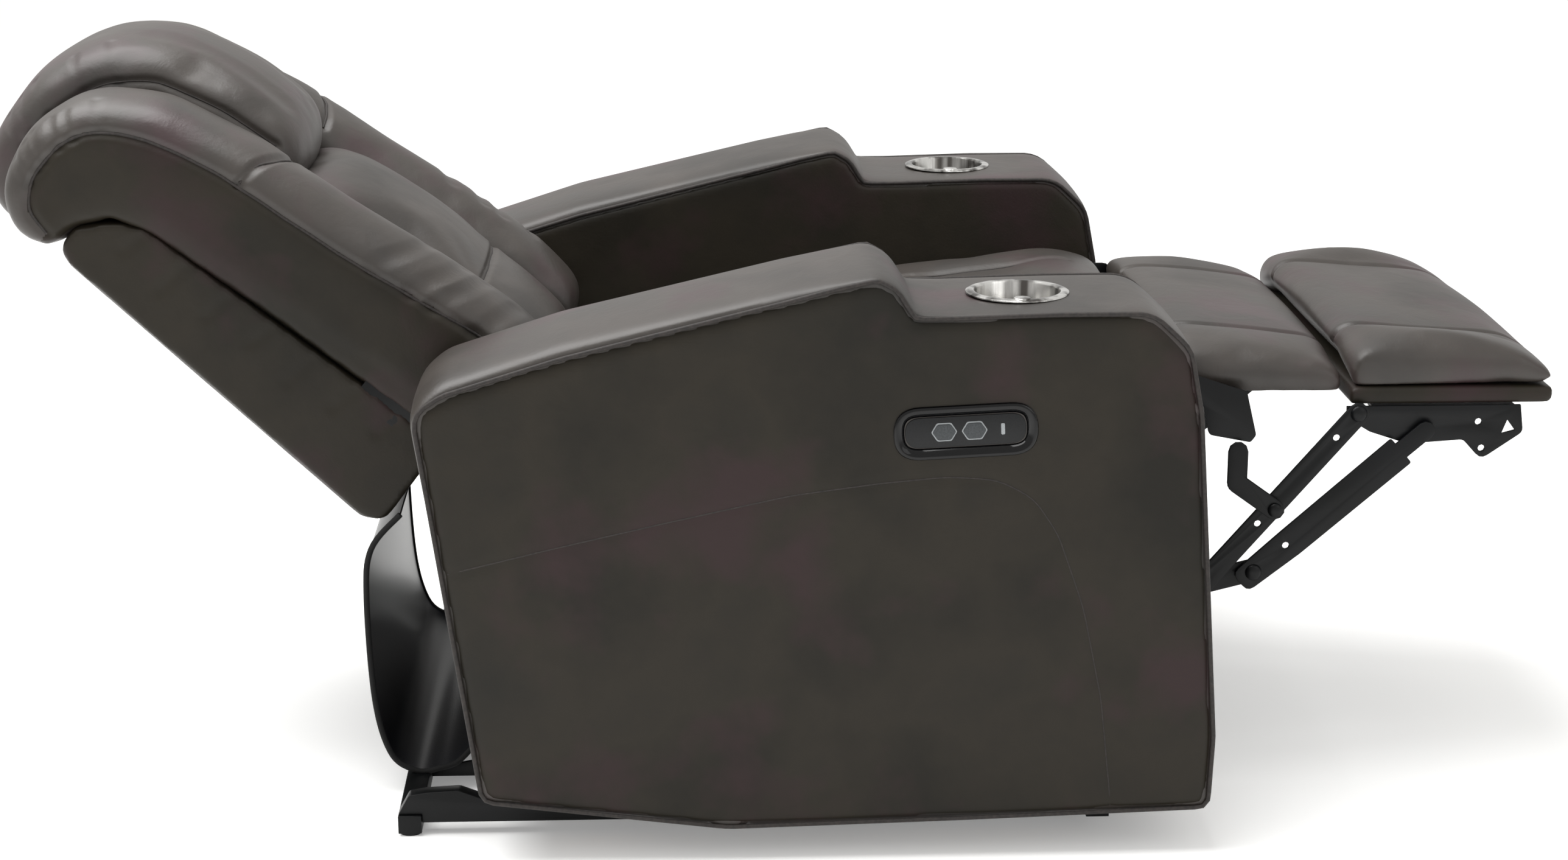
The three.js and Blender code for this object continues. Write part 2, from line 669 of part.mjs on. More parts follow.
function chaise() {
  const group = new THREE.Group();
  const at = linkLayer(2);
  const under = chaiseBoardZ - runningGap;
  const leaf = outline([
    [chaisePivot[0] - 13, chaisePivot[1], 12], [chaisePivot[0], chaisePivot[1] + 14, 10],
    [chaisePivot[0] + 16, chaisePivot[1] + 4, 10], [522, 452], [534, 403, 6], [528, 395, 4], [482, 404, 6],
    [474, 440, 10], [chaisePivot[0] - 6, chaisePivot[1] - 14, 8],
  ]);
  const bracket = joined(
    slab(leaf, at, at + plate, { holes: [discOutline(chaisePivot, holeRadius, 12)] }),
    block(at - 22, at + 1, 484, 520, under - plate, under),
  );
  addPair(group, "chaise_bracket", bracket, blackSteel);

  const boardHalf = chaiseHalf - 12;
  const boardTo = chaisePadZ - runningGap;
  const board = block(-boardHalf, boardHalf, chaiseFrom + 4, chaiseTo - 6, chaiseBoardZ, boardTo);
  add(group, "chaise_board", board, pine);
  const pad = outline([
    [chaiseFrom, chaisePadZ, 3], [chaiseTo, chaisePadZ, 3], [chaiseTo, 488, 12], [chaiseTo - 30, 498, 30],
    [chaiseFrom + 40, 506, 60], [chaiseFrom + 3, 504, 8],
  ]);
  add(group, "chaise_pad", slab(pad, -chaiseHalf, chaiseHalf), leatherLit);
  return group;
}

// ---------- drive ----------
function drive() {
  const group = new THREE.Group();
  const [du, dz] = turned(leverLength, 0, leverDeg);
  const eye = [footPivot[0] + du, footPivot[1] + dz];
  const axisZ = eye[1];
  const axisX = 22; // beside the lever
  const outerR = rodRadius + runningGap + tubeWall;
  const along = (radius, from, to, sides = 20) => {
    const cylinder = new THREE.CylinderGeometry(radius, radius, to - from, sides);
    cylinder.translate(axisX, -(from + to) / 2, axisZ);
    return cylinder;
  };
  const tubeEnd = 240;
  const housing = cut(
    joined(block(axisX - 34, axisX + 34, -120, -20, axisZ - 30, axisZ + 34), along(outerR, -30, tubeEnd),
      block(axisX - 10, axisX + 10, -196, -118, axisZ + 8, 262 - runningGap)),
    along(rodRadius + runningGap, 20, tubeEnd + 5),
  );
  add(group, "drive_motor", housing, blackPlastic);

  const rodEnd = eye[0] - 20;
  const eyeAt = plate + 1;
  const rod = joined(
    along(rodRadius, 140, rodEnd, 16),
    block(eyeAt + 2, axisX, rodEnd - 24, rodEnd - 4, axisZ - 6, axisZ + 6),
    slab(barOutline([rodEnd - 12, axisZ], eye, 10), eyeAt + 1, eyeAt + 8),
  );
  add(group, "drive_rod", rod, brushedSteel);
  return group;
}

// ---------- sling that closes the gap under the back ----------
function rearFlap() {
  const lowEdge = turned(-160, 84, reclineDeg);
  const points = [
    [backPivot[0] + lowEdge[0], backPivot[1] + lowEdge[1]], [-440, 226], [-435, 110], [-420, 48],
    [-396, 27], [-370, 27], [-330, 48], [-250, 150], [-200, 255],
  ].map(([u, z]) => new THREE.Vector3(u, z, 0));
  const curve = new THREE.CatmullRomCurve3(points);
  const centre = curve.getSpacedPoints(16);
  const face = (offset) => centre.map((p, i) => {
    const t = curve.getTangentAt(i / (centre.length - 1));
    return new THREE.Vector2(p.x - offset * t.y, p.y + offset * t.x);
  });
  const section = [...face(flapThickness / 2), ...face(-flapThickness / 2).reverse()];
  const sheet = slab(section, -flapHalf, flapHalf);
  const far = flapHalf + 10;
  const cornerPlan = new THREE.Shape([
    [far, flapWideTo], [flapHalf, flapWideTo], [flapNarrowHalf, flapNarrowFrom],
    [flapNarrowHalf, 0], [far, 0],
  ].map(([x, u]) => new THREE.Vector2(x, -u)));
  const corner = new THREE.ExtrudeGeometry(cornerPlan, { depth: backPivot[1], bevelEnabled: false });
  return cut(sheet, corner, mirrored(corner));
}

// ---------- power inlet at the back of the base ----------
function powerInlet() {
  const socket = cut(
    block(280, 320, crossRear + 2, crossRear + 24, crossTop + runningGap, crossTop + 22),
    block(290, 310, crossRear - 5, crossRear + 14, crossTop + 7, crossTop + 17),
  );
  return socket;
}

chair.add(base(), arms(), controls());
add(chair, "power_inlet", powerInlet(), blackPlastic);
add(chair, "front_swing", swing(swingFrontU), blackSteel);
add(chair, "rear_swing", swing(swingRearU), blackSteel);
chair.add(carriage(), back(), drive());
chair.add(rearLinks(), frontLinks(), stayLinks(), bentLinks(), ottoman(), chaise());
add(chair, "rear_flap", rearFlap(), blackVinyl);

export default chair;
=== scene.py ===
import json
import math
import random

import bmesh
import bpy
from mathutils import Matrix, Vector
from mathutils.bvhtree import BVHTree
from mathutils.kdtree import KDTree


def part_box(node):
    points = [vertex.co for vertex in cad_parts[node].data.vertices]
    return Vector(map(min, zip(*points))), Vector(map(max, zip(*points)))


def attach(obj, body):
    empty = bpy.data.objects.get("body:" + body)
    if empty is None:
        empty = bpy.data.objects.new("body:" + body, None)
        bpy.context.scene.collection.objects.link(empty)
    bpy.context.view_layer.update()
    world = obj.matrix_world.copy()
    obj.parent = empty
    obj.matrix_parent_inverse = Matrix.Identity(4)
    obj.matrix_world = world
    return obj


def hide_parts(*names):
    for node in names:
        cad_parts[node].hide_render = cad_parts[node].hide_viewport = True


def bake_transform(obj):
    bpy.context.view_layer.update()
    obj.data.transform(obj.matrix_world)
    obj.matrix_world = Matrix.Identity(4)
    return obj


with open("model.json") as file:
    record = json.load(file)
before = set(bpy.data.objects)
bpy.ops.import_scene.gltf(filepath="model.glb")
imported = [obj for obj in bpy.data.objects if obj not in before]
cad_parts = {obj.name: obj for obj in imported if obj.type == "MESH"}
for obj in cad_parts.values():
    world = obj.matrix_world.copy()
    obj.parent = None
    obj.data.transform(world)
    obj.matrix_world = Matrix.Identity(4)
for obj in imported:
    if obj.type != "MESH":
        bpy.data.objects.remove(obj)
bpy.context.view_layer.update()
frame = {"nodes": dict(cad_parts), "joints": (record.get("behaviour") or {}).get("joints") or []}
nodes = frame["nodes"]
scene = bpy.context.scene

# Outlines below are in millimetres: forward (that is -Y) and up, as the chair is drawn from the side.
joints = {j["name"]: j for j in frame["joints"]}
backPivot = Vector(joints["back_recline"]["pos_m"])
reclineAngle = math.radians(52)


def onSide(x, forward, up):
    return Vector((x, -forward, up)) / 1000


# The back is drawn upright about its hinge: how far in front of the hinge line, and how far up it.
def onBack(x, front, up):
    forward = front * math.cos(reclineAngle) - up * math.sin(reclineAngle)
    height = front * math.sin(reclineAngle) + up * math.cos(reclineAngle)
    return backPivot + Vector((x, -forward, height)) / 1000


def upright(spot):
    forward, height = (backPivot.y - spot.y) * 1000, (spot.z - backPivot.z) * 1000
    front = forward * math.cos(reclineAngle) + height * math.sin(reclineAngle)
    return front, height * math.cos(reclineAngle) - forward * math.sin(reclineAngle)


def insideOutline(corners, across, up):
    inside = False
    for (a, b), (c, d) in zip(corners, corners[1:] + corners[:1]):
        if (b > up) != (d > up) and across < a + (up - b) * (c - a) / (d - b):
            inside = not inside
    return inside


# ---- camera, floor, light ----

studio = {
    "eye": (-3.33047, 0.11019, 1.23759),
    "view": (0.96481, -0.04037, -0.25982),
    "lens": 67.08,
    "floorSize": 30,
    "sky": "fffefc",
    "skyStrength": 0.80,
    "overhead": 180, "window": 20, "floorGlow": 0.22,
}


def makeStudio():
    camera = bpy.data.objects.new("camera", bpy.data.cameras.new("camera"))
    camera.data.lens = studio["lens"]
    camera.data.sensor_width = 36
    camera.location = studio["eye"]
    camera.rotation_euler = Vector(studio["view"]).to_track_quat("-Z", "Y").to_euler()
    scene.collection.objects.link(camera)
    scene.camera = camera

    bm = bmesh.new()
    bmesh.ops.create_grid(bm, x_segments=1, y_segments=1, size=studio["floorSize"] / 2)
    floor = toObject("floor", bm)
    paint = plainMaterial("paintedFloor", "fcfcfb", 0.8)
    glow = paint.node_tree.nodes["Principled BSDF"].inputs
    glow["Emission Color"].default_value = (1, 1, 1, 1)
    glow["Emission Strength"].default_value = studio["floorGlow"]
    floor.data.materials.append(paint)

    world = bpy.data.worlds.new("studioSky")
    world.use_nodes = True
    tree = world.node_tree
    background = tree.nodes["Background"]
    background.inputs["Color"].default_value = (*linear(studio["sky"]), 1)
    background.inputs["Strength"].default_value = studio["skyStrength"]
    backdrop = node(tree, "ShaderNodeBackground", {"Color": (1, 1, 1, 1), "Strength": 1.0})
    seen = node(tree, "ShaderNodeLightPath").outputs["Is Camera Ray"]
    mixed = node(tree, "ShaderNodeMixShader", {"Fac": seen})
    tree.links.new(background.outputs[0], mixed.inputs[1])
    tree.links.new(backdrop.outputs[0], mixed.inputs[2])
    tree.links.new(mixed.outputs[0], tree.nodes["World Output"].inputs["Surface"])
    scene.world = world

    for name, power, size, place, target in (
        ("overheadBox", studio["overhead"], 3.2, (0.1, 1.1, 3.2), (0, 0.1, 0.5)),
        ("windowBox", studio["window"], 2.5, (-3.0, -3.0, 2.4), (0, 0, 0.5)),
    ):
        light = bpy.data.objects.new(name, bpy.data.lights.new(name, "AREA"))
        light.data.energy = power
        light.data.size = size
        light.location = place
        light.rotation_euler = (Vector(target) - Vector(place)).to_track_quat("-Z", "Y").to_euler()
        scene.collection.objects.link(light)
    scene.view_settings.view_transform = "Standard"
    print("studio ready")


# ---- materials ----

def linear(hexColour):
    channels = [int(hexColour[i:i + 2], 16) / 255 for i in (0, 2, 4)]
    return tuple(c / 12.92 if c <= 0.04045 else ((c + 0.055) / 1.055) ** 2.4 for c in channels)


def node(tree, kind, inputs=(), **settings):
    made = tree.nodes.new(kind)
    for name, value in settings.items():
        setattr(made, name, value)
    for name, value in dict(inputs).items():
        if isinstance(value, bpy.types.NodeSocket):
            tree.links.new(value, made.inputs[name])
        else:
            made.inputs[name].default_value = value
    return made


def newMaterial(name):
    material = bpy.data.materials.new(name)
    material.use_nodes = True
    return material, material.node_tree, material.node_tree.nodes["Principled BSDF"]


def ramp(tree, factor, stops):
    made = node(tree, "ShaderNodeValToRGB", {"Fac": factor})
    elements = made.color_ramp.elements
    while len(elements) < len(stops):
        elements.new(0.5)
    for element, (position, colour) in zip(elements, stops):
        element.position = position
        element.color = (*colour, 1)
    return made.outputs["Color"]


# The base colour runs from dark to light as the factor goes from low to high.
def tint(tree, shader, factor, low, dark, high, light):
    tones = ramp(tree, factor, [(low, linear(dark)), (high, linear(light))])
    tree.links.new(tones, shader.inputs["Base Color"])


def roughen(tree, shader, height, strength, distance):
    bump = node(tree, "ShaderNodeBump", {"Height": height, "Strength": strength, "Distance": distance})
    tree.links.new(bump.outputs["Normal"], shader.inputs["Normal"])


def texturedMaterial(name):
    material, tree, shader = newMaterial(name)
    return material, tree, shader, node(tree, "ShaderNodeTexCoord").outputs["Object"]


def plainMaterial(name, colour, roughness):
    material, tree, shader = newMaterial(name)
    shader.inputs["Base Color"].default_value = (*linear(colour), 1)
    shader.inputs["Roughness"].default_value = roughness
    return material


# Pull-up leather, drum dyed and waxed by hand: cloudy patches, pebble grain, soft creases, satin wax.
def waxedLeather(name, dark, middle, plum, roughness, shine, creaseDepth):
    material, tree, shader, where = texturedMaterial(name)
    clouds = node(tree, "ShaderNodeTexNoise",
                  {"Vector": where, "Scale": 4.2, "Detail": 5, "Roughness": 0.55})
    base = ramp(tree, clouds.outputs["Fac"],
                [(0.30, linear(dark)), (0.48, linear(middle)), (0.66, linear(dark))])
    stains = node(tree, "ShaderNodeTexNoise",
                  {"Vector": where, "Scale": 7.5, "Detail": 4, "Roughness": 0.55})
    stainMask = ramp(tree, stains.outputs["Fac"], [(0.52, (0, 0, 0)), (0.68, (0.85, 0.85, 0.85))])
    mixed = node(tree, "ShaderNodeMix", data_type="RGBA")
    tree.links.new(stainMask, mixed.inputs["Factor"])
    tree.links.new(base, mixed.inputs[6])
    mixed.inputs[7].default_value = (*linear(plum), 1)
    tree.links.new(mixed.outputs[2], shader.inputs["Base Color"])

    pebble = node(tree, "ShaderNodeTexVoronoi", {"Vector": where, "Scale": 420.0}, feature="SMOOTH_F1")
    creases = node(tree, "ShaderNodeTexNoise",
                   {"Vector": where, "Scale": 26, "Detail": 4, "Roughness": 0.6, "Distortion": 0.6})
    creaseBump = node(tree, "ShaderNodeBump",
                      {"Height": creases.outputs["Fac"], "Strength": 0.5, "Distance": creaseDepth})
    grainBump = node(tree, "ShaderNodeBump", {
        "Height": pebble.outputs["Distance"], "Strength": 0.12, "Distance": 0.0006,
        "Normal": creaseBump.outputs["Normal"]})
    tree.links.new(grainBump.outputs["Normal"], shader.inputs["Normal"])

    wax = node(tree, "ShaderNodeMapRange", {
        "Value": clouds.outputs["Fac"], "From Min": 0.3, "From Max": 0.7,
        "To Min": roughness - 0.05, "To Max": roughness + 0.08})
    tree.links.new(wax.outputs["Result"], shader.inputs["Roughness"])
    shader.inputs["IOR"].default_value = 1.5
    shader.inputs["Specular IOR Level"].default_value = shine
    return material


# Bonded nylon thread, sunk in its seam: almost black, matt.
def seamThread():
    material, tree, shader, where = texturedMaterial("seamThread")
    twist = node(tree, "ShaderNodeTexNoise", {"Vector": where, "Scale": 300, "Detail": 2})
    tint(tree, shader, twist.outputs["Fac"], 0.3, "15110f", 0.7, "2b2522")
    shader.inputs["Roughness"].default_value = 0.7
    return material


# Powder-coated pressed steel: satin black with a faint orange peel.
def powderCoat():
    material, tree, shader, where = texturedMaterial("powderCoatedSteel")
    peel = node(tree, "ShaderNodeTexNoise", {"Vector": where, "Scale": 520, "Detail": 2})
    tone = node(tree, "ShaderNodeTexNoise", {"Vector": where, "Scale": 14, "Detail": 4})
    tint(tree, shader, tone.outputs["Fac"], 0.3, "050606", 0.7, "0c0d0f")
    roughen(tree, shader, peel.outputs["Fac"], 0.15, 0.0004)
    shader.inputs["Roughness"].default_value = 0.38
    shader.inputs["Specular IOR Level"].default_value = 0.2
    return material


# Deep-drawn stainless: bright and dark streaks down the wall, about 20 mm apart, painted into the colour as
# painted reflections; roughness and a faint bump follow the same streaks.
def stainlessPaintedReflections():
    material, tree, shader, where = texturedMaterial("stainlessPaintedReflections")
    stretched = node(tree, "ShaderNodeMapping", {"Vector": where, "Scale": (50, 50, 2)})
    paintedReflectionStreaks = node(tree, "ShaderNodeTexNoise",
                   {"Vector": stretched.outputs["Vector"], "Scale": 1.0, "Detail": 5})
    # painted reflections: the base colour runs dark and light along the streaks
    tint(tree, shader, paintedReflectionStreaks.outputs["Fac"], 0.38, "55524f", 0.58, "d8d7d4")
    rough = node(tree, "ShaderNodeMapRange", {
        "Value": paintedReflectionStreaks.outputs["Fac"], "From Min": 0.3, "From Max": 0.7, "To Min": 0.14, "To Max": 0.24})
    tree.links.new(rough.outputs["Result"], shader.inputs["Roughness"])
    roughen(tree, shader, paintedReflectionStreaks.outputs["Fac"], 0.04, 0.0003)
    shader.inputs["Metallic"].default_value = 1
    return material


# Moulded ABS: glossy or finely spark-eroded, by its roughness and grain.
def mouldedAbs(name, dark, light, roughness, grain):
    material, tree, shader, where = texturedMaterial(name)
    spark = node(tree, "ShaderNodeTexNoise", {"Vector": where, "Scale": 700, "Detail": 3})
    tint(tree, shader, spark.outputs["Fac"], 0.35, dark, 0.65, light)
    roughen(tree, shader, spark.outputs["Fac"], grain, 0.0003)
    shader.inputs["Roughness"].default_value = roughness
    shader.inputs["Specular IOR Level"].default_value = 0.3
    return material


# Planed pine batten: growth rings stretched along the board.
def planedPine():
    material, tree, shader, where = texturedMaterial("planedPine")
    board = node(tree, "ShaderNodeMapping", {"Vector": where, "Scale": (40, 3, 40)})
    growth = node(tree, "ShaderNodeTexNoise", {"Vector": board.outputs["Vector"], "Scale": 1, "Detail": 6})
    tint(tree, shader, growth.outputs["Fac"], 0.3, "8a6a43", 0.7, "b8935f")
    shader.inputs["Roughness"].default_value = 0.7
    return material


# Coated sling cloth: smooth black vinyl on a fine weave, threads 1.5 mm apart so that they show.
def coatedCloth(name, dark, light, roughness):
    material, tree, shader, where = texturedMaterial(name)
    weave = node(tree, "ShaderNodeTexVoronoi", {"Vector": where, "Scale": 660.0})
    tone = node(tree, "ShaderNodeTexNoise", {"Vector": where, "Scale": 9, "Detail": 4})
    tint(tree, shader, tone.outputs["Fac"], 0.3, dark, 0.7, light)
    roughen(tree, shader, weave.outputs["Distance"], 0.15, 0.0004)
    shader.inputs["Roughness"].default_value = roughness
    shader.inputs["Specular IOR Level"].default_value = 0.25
    return material


# ---- shape helpers, in metres ----

blowFrames = 20
threadSink = 0.0002
cordRadius = {"wing": 0.0017, "seam": 0.0011, "dress": 0.0008, "piping": 0.0024, "hem": 0.0033}


def toObject(name, bm):
    mesh = bpy.data.meshes.new(name)
    bm.to_mesh(mesh)
    bm.free()
    piece = bpy.data.objects.new(name, mesh)
    scene.collection.objects.link(piece)
    return piece


def applyModifiers(piece):
    mesh = bpy.data.meshes.new_from_object(piece.evaluated_get(bpy.context.evaluated_depsgraph_get()))
    piece.modifiers.clear()
    piece.data = mesh


# A closed outline from (across, up, radius, rise) corners, rounded at its corners and evenly spaced.
# rise is how far the padding stands out from the seam there, and comes out as each point's z.
def outline(corners, spacing=8):
    dense = []
    spots = [Vector((c[0], c[1], c[3] if len(c) > 3 else 0)) for c in corners]
    for i, here in enumerate(spots):
        radius = corners[i][2] if len(corners[i]) > 2 else 0
        back = spots[i - 1] - here
        ahead = spots[(i + 1) % len(spots)] - here
        if not radius:
            dense.append(here)
            continue
        half = back.xy.angle(ahead.xy) / 2
        reach = radius / math.tan(half)
        start = here + back * min(reach / back.xy.length, 0.48)
        end = here + ahead * min(reach / ahead.xy.length, 0.48)
        for k in range(9):
            t = k / 8
            dense.append(start * (1 - t) ** 2 + here * 2 * t * (1 - t) + end * t * t)
    lengths = [(dense[(i + 1) % len(dense)].xy - p.xy).length for i, p in enumerate(dense)]
    count = max(8, round(sum(lengths) / spacing))
    step = sum(lengths) / count
    points, walked, target = [], 0, 0
    for i, length in enumerate(lengths):
        while target < walked + length - 1e-6 and len(points) < count:
            points.append(dense[i].lerp(dense[(i + 1) % len(dense)], (target - walked) / length))
            target += step
        walked += length
    return points


def outward(points):
    area = sum(p.x * points[(i + 1) % len(points)].y - p.y * points[(i + 1) % len(points)].x
               for i, p in enumerate(points))
    turn = 1 if area > 0 else -1
    normals = []
    for i in range(len(points)):
        run = points[(i + 1) % len(points)].xy - points[i - 1].xy
        normals.append(Vector((run.y, -run.x)).normalized() * turn)
    return normals


# One ring of a padded shape: the seam outline pushed out by each point's rise times the crown's share.
def ring(points, normals, x, place, share):
    return [place(x, p.x + n.x * p.z * share, p.y + n.y * p.z * share) for p, n in zip(points, normals)]


# Rings bridged one to the next: a solid with its two ends filled, or a tube whose last ring meets its first.
def loft(name, rings, tube=False):
    bm = bmesh.new()
    loops = []
    for spots in rings:
        verts = [bm.verts.new(spot) for spot in spots]
        loops.append([bm.edges.new((verts[i - 1], verts[i])) for i in range(len(verts))])
    if tube:
        loops.append(loops[0])
    for low, high in zip(loops, loops[1:]):
        bmesh.ops.bridge_loops(bm, edges=low + high)
    if not tube:
        for end in (loops[0], loops[-1]):
            bmesh.ops.edgeloop_fill(bm, edges=end)
        bmesh.ops.triangulate(bm, faces=[f for f in bm.faces if len(f.verts) > 4])
    bmesh.ops.recalc_face_normals(bm, faces=bm.faces)
    return toObject(name, bm)


# A padded shape whose seams are at xLow and xHigh and whose crown lies between them.
def paddedLoft(name, corners, xLow, xHigh, place, steps, power=0.6, spacing=8):
    points = outline(corners, spacing)
    normals = outward(points)
    middle = (xLow + xHigh) / 2
    half = (xHigh - xLow) / 2
    rings = []
    for i in range(steps + 1):
        angle = math.pi * (i / steps - 0.5)
        rings.append(ring(points, normals, middle + half * math.sin(angle), place, math.cos(angle) ** power))
    return loft(name, rings)


def remesh(piece, voxel, smoothing=4):
    modifier = piece.modifiers.new("remesh", "REMESH")
    modifier.mode = "VOXEL"
    modifier.voxel_size = voxel
    applyModifiers(piece)
    smoothCover(piece, smoothing)


def smoothCover(piece, passes):
    bm = bmesh.new()
    bm.from_mesh(piece.data)
    for _ in range(passes):
        bmesh.ops.smooth_vert(bm, verts=bm.verts, factor=0.5,
                              use_axis_x=True, use_axis_y=True, use_axis_z=True)
    bm.to_mesh(piece.data)
    bm.free()


# Blows the cover up like a filled cushion; points near a seam stay where they are sewn down.
def puff(piece, settings, seams):
    start = [v.co.copy() for v in piece.data.vertices]
    sewn = piece.vertex_groups.new(name="sewn")
    tree = pathTree(seams, 0.004)
    for i, spot in enumerate(start):
        if tree.find(spot)[2] < settings["seamHold"]:
            sewn.add([i], 1, "REPLACE")
    cloth = piece.modifiers.new("cloth", "CLOTH")
    cover = cloth.settings
    cover.quality = 4
    cover.mass = 0.3
    cover.tension_stiffness = 12
    cover.compression_stiffness = 12
    cover.shear_stiffness = 4
    cover.bending_stiffness = 0.4
    cover.use_pressure = True
    cover.uniform_pressure_force = settings["pressure"]
    cover.effector_weights.gravity = 0
    cover.vertex_group_mass = "sewn"
    cloth.point_cache.frame_end = blowFrames
    for step in range(1, blowFrames + 1):
        scene.frame_set(step)
    blown = piece.evaluated_get(bpy.context.evaluated_depsgraph_get())
    moved = [v.co.copy() for v in blown.data.vertices]
    piece.modifiers.remove(cloth)
    piece.vertex_groups.clear()
    for vertex, before, after in zip(piece.data.vertices, start, moved):
        shift = after - before
        if shift.length > settings["cap"]:
            shift *= settings["cap"] / shift.length
        shift.x = max(-settings["sideCap"], min(settings["sideCap"], shift.x))
        vertex.co = before + shift
    smoothCover(piece, settings.get("settle", 6))
    scene.frame_set(1)


def refine(piece):
    modifier = piece.modifiers.new("refine", "SUBSURF")
    modifier.levels = 1
    modifier.render_levels = 1
    applyModifiers(piece)


def along(path, spacing):
    spots = []
    for low, high in zip(path, path[1:]):
        count = max(1, round((high - low).length / spacing))
        spots += [low.lerp(high, i / count) for i in range(count)]
    return spots + [path[-1]]


def pathTree(paths, spacing):
    spots = [spot for path in paths for spot in along(path, spacing)]
    tree = KDTree(len(spots))
    for i, spot in enumerate(spots):
        tree.insert(spot, i)
    tree.balance()
    return tree


# Presses a groove into the cover along each path.
def crease(piece, paths, width, depth):
    tree = pathTree(paths, width / 3)
    normals = [v.normal.copy() for v in piece.data.vertices]
    for vertex, normal in zip(piece.data.vertices, normals):
        gap = tree.find(vertex.co)[2]
        if gap < width:
            vertex.co -= normal * depth * (1 - (gap / width) ** 2) ** 2


def onSurface(piece, paths, sink=0.0):
    tree = BVHTree.FromObject(piece, bpy.context.evaluated_depsgraph_get())
    laid = []
    for path in paths:
        spots = []
        for spot in along(path, 0.008):
            hit, normal, _, _ = tree.find_nearest(spot)
            spots.append(hit - normal * sink)
        for _ in range(3):  # the line of a seam runs fair
            fair = [(a + 2 * b + c) / 4 for a, b, c in zip(spots, spots[1:], spots[2:])]
            spots = [spots[0], *fair, spots[-1]]
        laid.append(spots)
    return laid


# Thin round cords laid along paths, as one piece: seam thread or piping.
def cords(name, paths, radius, cyclic=False):
    curve = bpy.data.curves.new(name, "CURVE")
    curve.dimensions = "3D"
    curve.bevel_depth = radius
    curve.bevel_resolution = 2
    curve.use_fill_caps = True
    for path in paths:
        spline = curve.splines.new("POLY")
        spline.points.add(len(path) - 1)
        for point, spot in zip(spline.points, path):
            point.co = (*spot, 1)
        spline.use_cyclic_u = cyclic
    maker = bpy.data.objects.new(name, curve)
    scene.collection.objects.link(maker)
    mesh = bpy.data.meshes.new_from_object(maker.evaluated_get(bpy.context.evaluated_depsgraph_get()))
    bpy.data.objects.remove(maker)
    piece = bpy.data.objects.new(name, mesh)
    scene.collection.objects.link(piece)
    return piece


def shadeSmooth(piece, angle=None):
    for polygon in piece.data.polygons:
        polygon.use_smooth = True
    if angle is not None:
        piece.data.set_sharp_from_angle(angle=math.radians(angle))


def mount(piece, body, material, slot, *replaced, fill=None):
    piece.data.materials.clear()
    piece.data.materials.append(material)
    for polygon in piece.data.polygons:
        polygon.material_index = 0
    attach(piece, body)
    if replaced:
        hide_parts(*replaced)
    return piece


def sewThread(name, cover, paths, body, radius=cordRadius["seam"], slot="cushion_leather"):
    thread = cords(name, onSurface(cover, paths, threadSink), radius)
    shadeSmooth(thread)
    mount(thread, body, materials["thread"], slot)


def mirroredCopy(piece, name):
    copy = bpy.data.objects.new(name, piece.data.copy())
    scene.collection.objects.link(copy)
    bm = bmesh.new()
    bm.from_mesh(copy.data)
    bmesh.ops.transform(bm, matrix=Matrix.Scale(-1, 4, (1, 0, 0)), verts=bm.verts)
    bmesh.ops.reverse_faces(bm, faces=bm.faces)
    bm.to_mesh(copy.data)
    bm.free()
    return copy


materials = {
    # Two copies of one leather: the side copy's darker colours are painted shade, and the top copy's lighter
    # colours are painted light from above; the top copy also shines more.
    "side": waxedLeather("waxedLeatherPaintedShade", "1a1813", "25211a", "2d2021", 0.46, 0.20, 0.0010),
    "top": waxedLeather("waxedLeatherPaintedLight", "282522", "36312d", "37282a", 0.45, 0.5, 0.0016),
    "thread": seamThread(),
    "steel": powderCoat(),
    "cup": stainlessPaintedReflections(),
    "gloss": mouldedAbs("glossAbs", "030304", "060607", 0.06, 0.0),
    "matt": mouldedAbs("mattAbs", "0b0c0e", "121315", 0.42, 0.1),
    "button": mouldedAbs("buttonAbs", "343739", "424547", 0.5, 0.1),
    "buttonRim": mouldedAbs("buttonRimAbs", "8a8e90", "9a9ea0", 0.4, 0.0),
    "pine": planedPine(),
    "vinyl": coatedCloth("coatedSlingCloth", "08090d", "111218", 0.34),
    "dust": coatedCloth("dustCoverCloth", "161616", "202020", 0.85),
}
makeStudio()


# ---- back: side bolsters, lumbar cushion, head pillow, outside shell ----

wing = {
    "inner": 132, "outer": 276,
    # the seam between the flat side and the roll, with the roll's rise
    "corners": [
        (-71, 80, 6, 0), (-71, 484, 20, 0), (-80, 520, 12, 0), (-118, 549, 12, 0), (-146, 551, 10, 4),
        (-150, 582, 26, 14), (-124, 610, 36, 24), (-70, 612, 60, 32), (-22, 589, 50, 36), (8, 535, 60, 39),
        (27, 430, 90, 40), (30, 320, 90, 40), (44, 200, 90, 38), (54, 110, 60, 32), (52, 40, 30, 24),
        (40, 18, 14, 12), (25, 46, 6, 0), (0, 54, 6, 0),
    ],
    "seam": [
        (-136, 560), (-128, 590), (-98, 606), (-52, 604), (-22, 588), (-5, 565), (8, 535), (17, 501),
        (26, 445), (29, 366), (33, 300), (39, 242), (45, 190), (52, 125), (53, 60),
    ],
    # the seam across the front, from the outer side to the lumbar cushion: x, front, up
    "crossSeam": [
        (274, 30, 432), (262, 54, 428), (240, 66, 420), (205, 71, 409), (170, 66, 399), (145, 52, 393),
    ],
    "pressure": 3.0, "cap": 0.008, "sideCap": 0.002, "voxel": 0.006, "seamHold": 0.007,
}


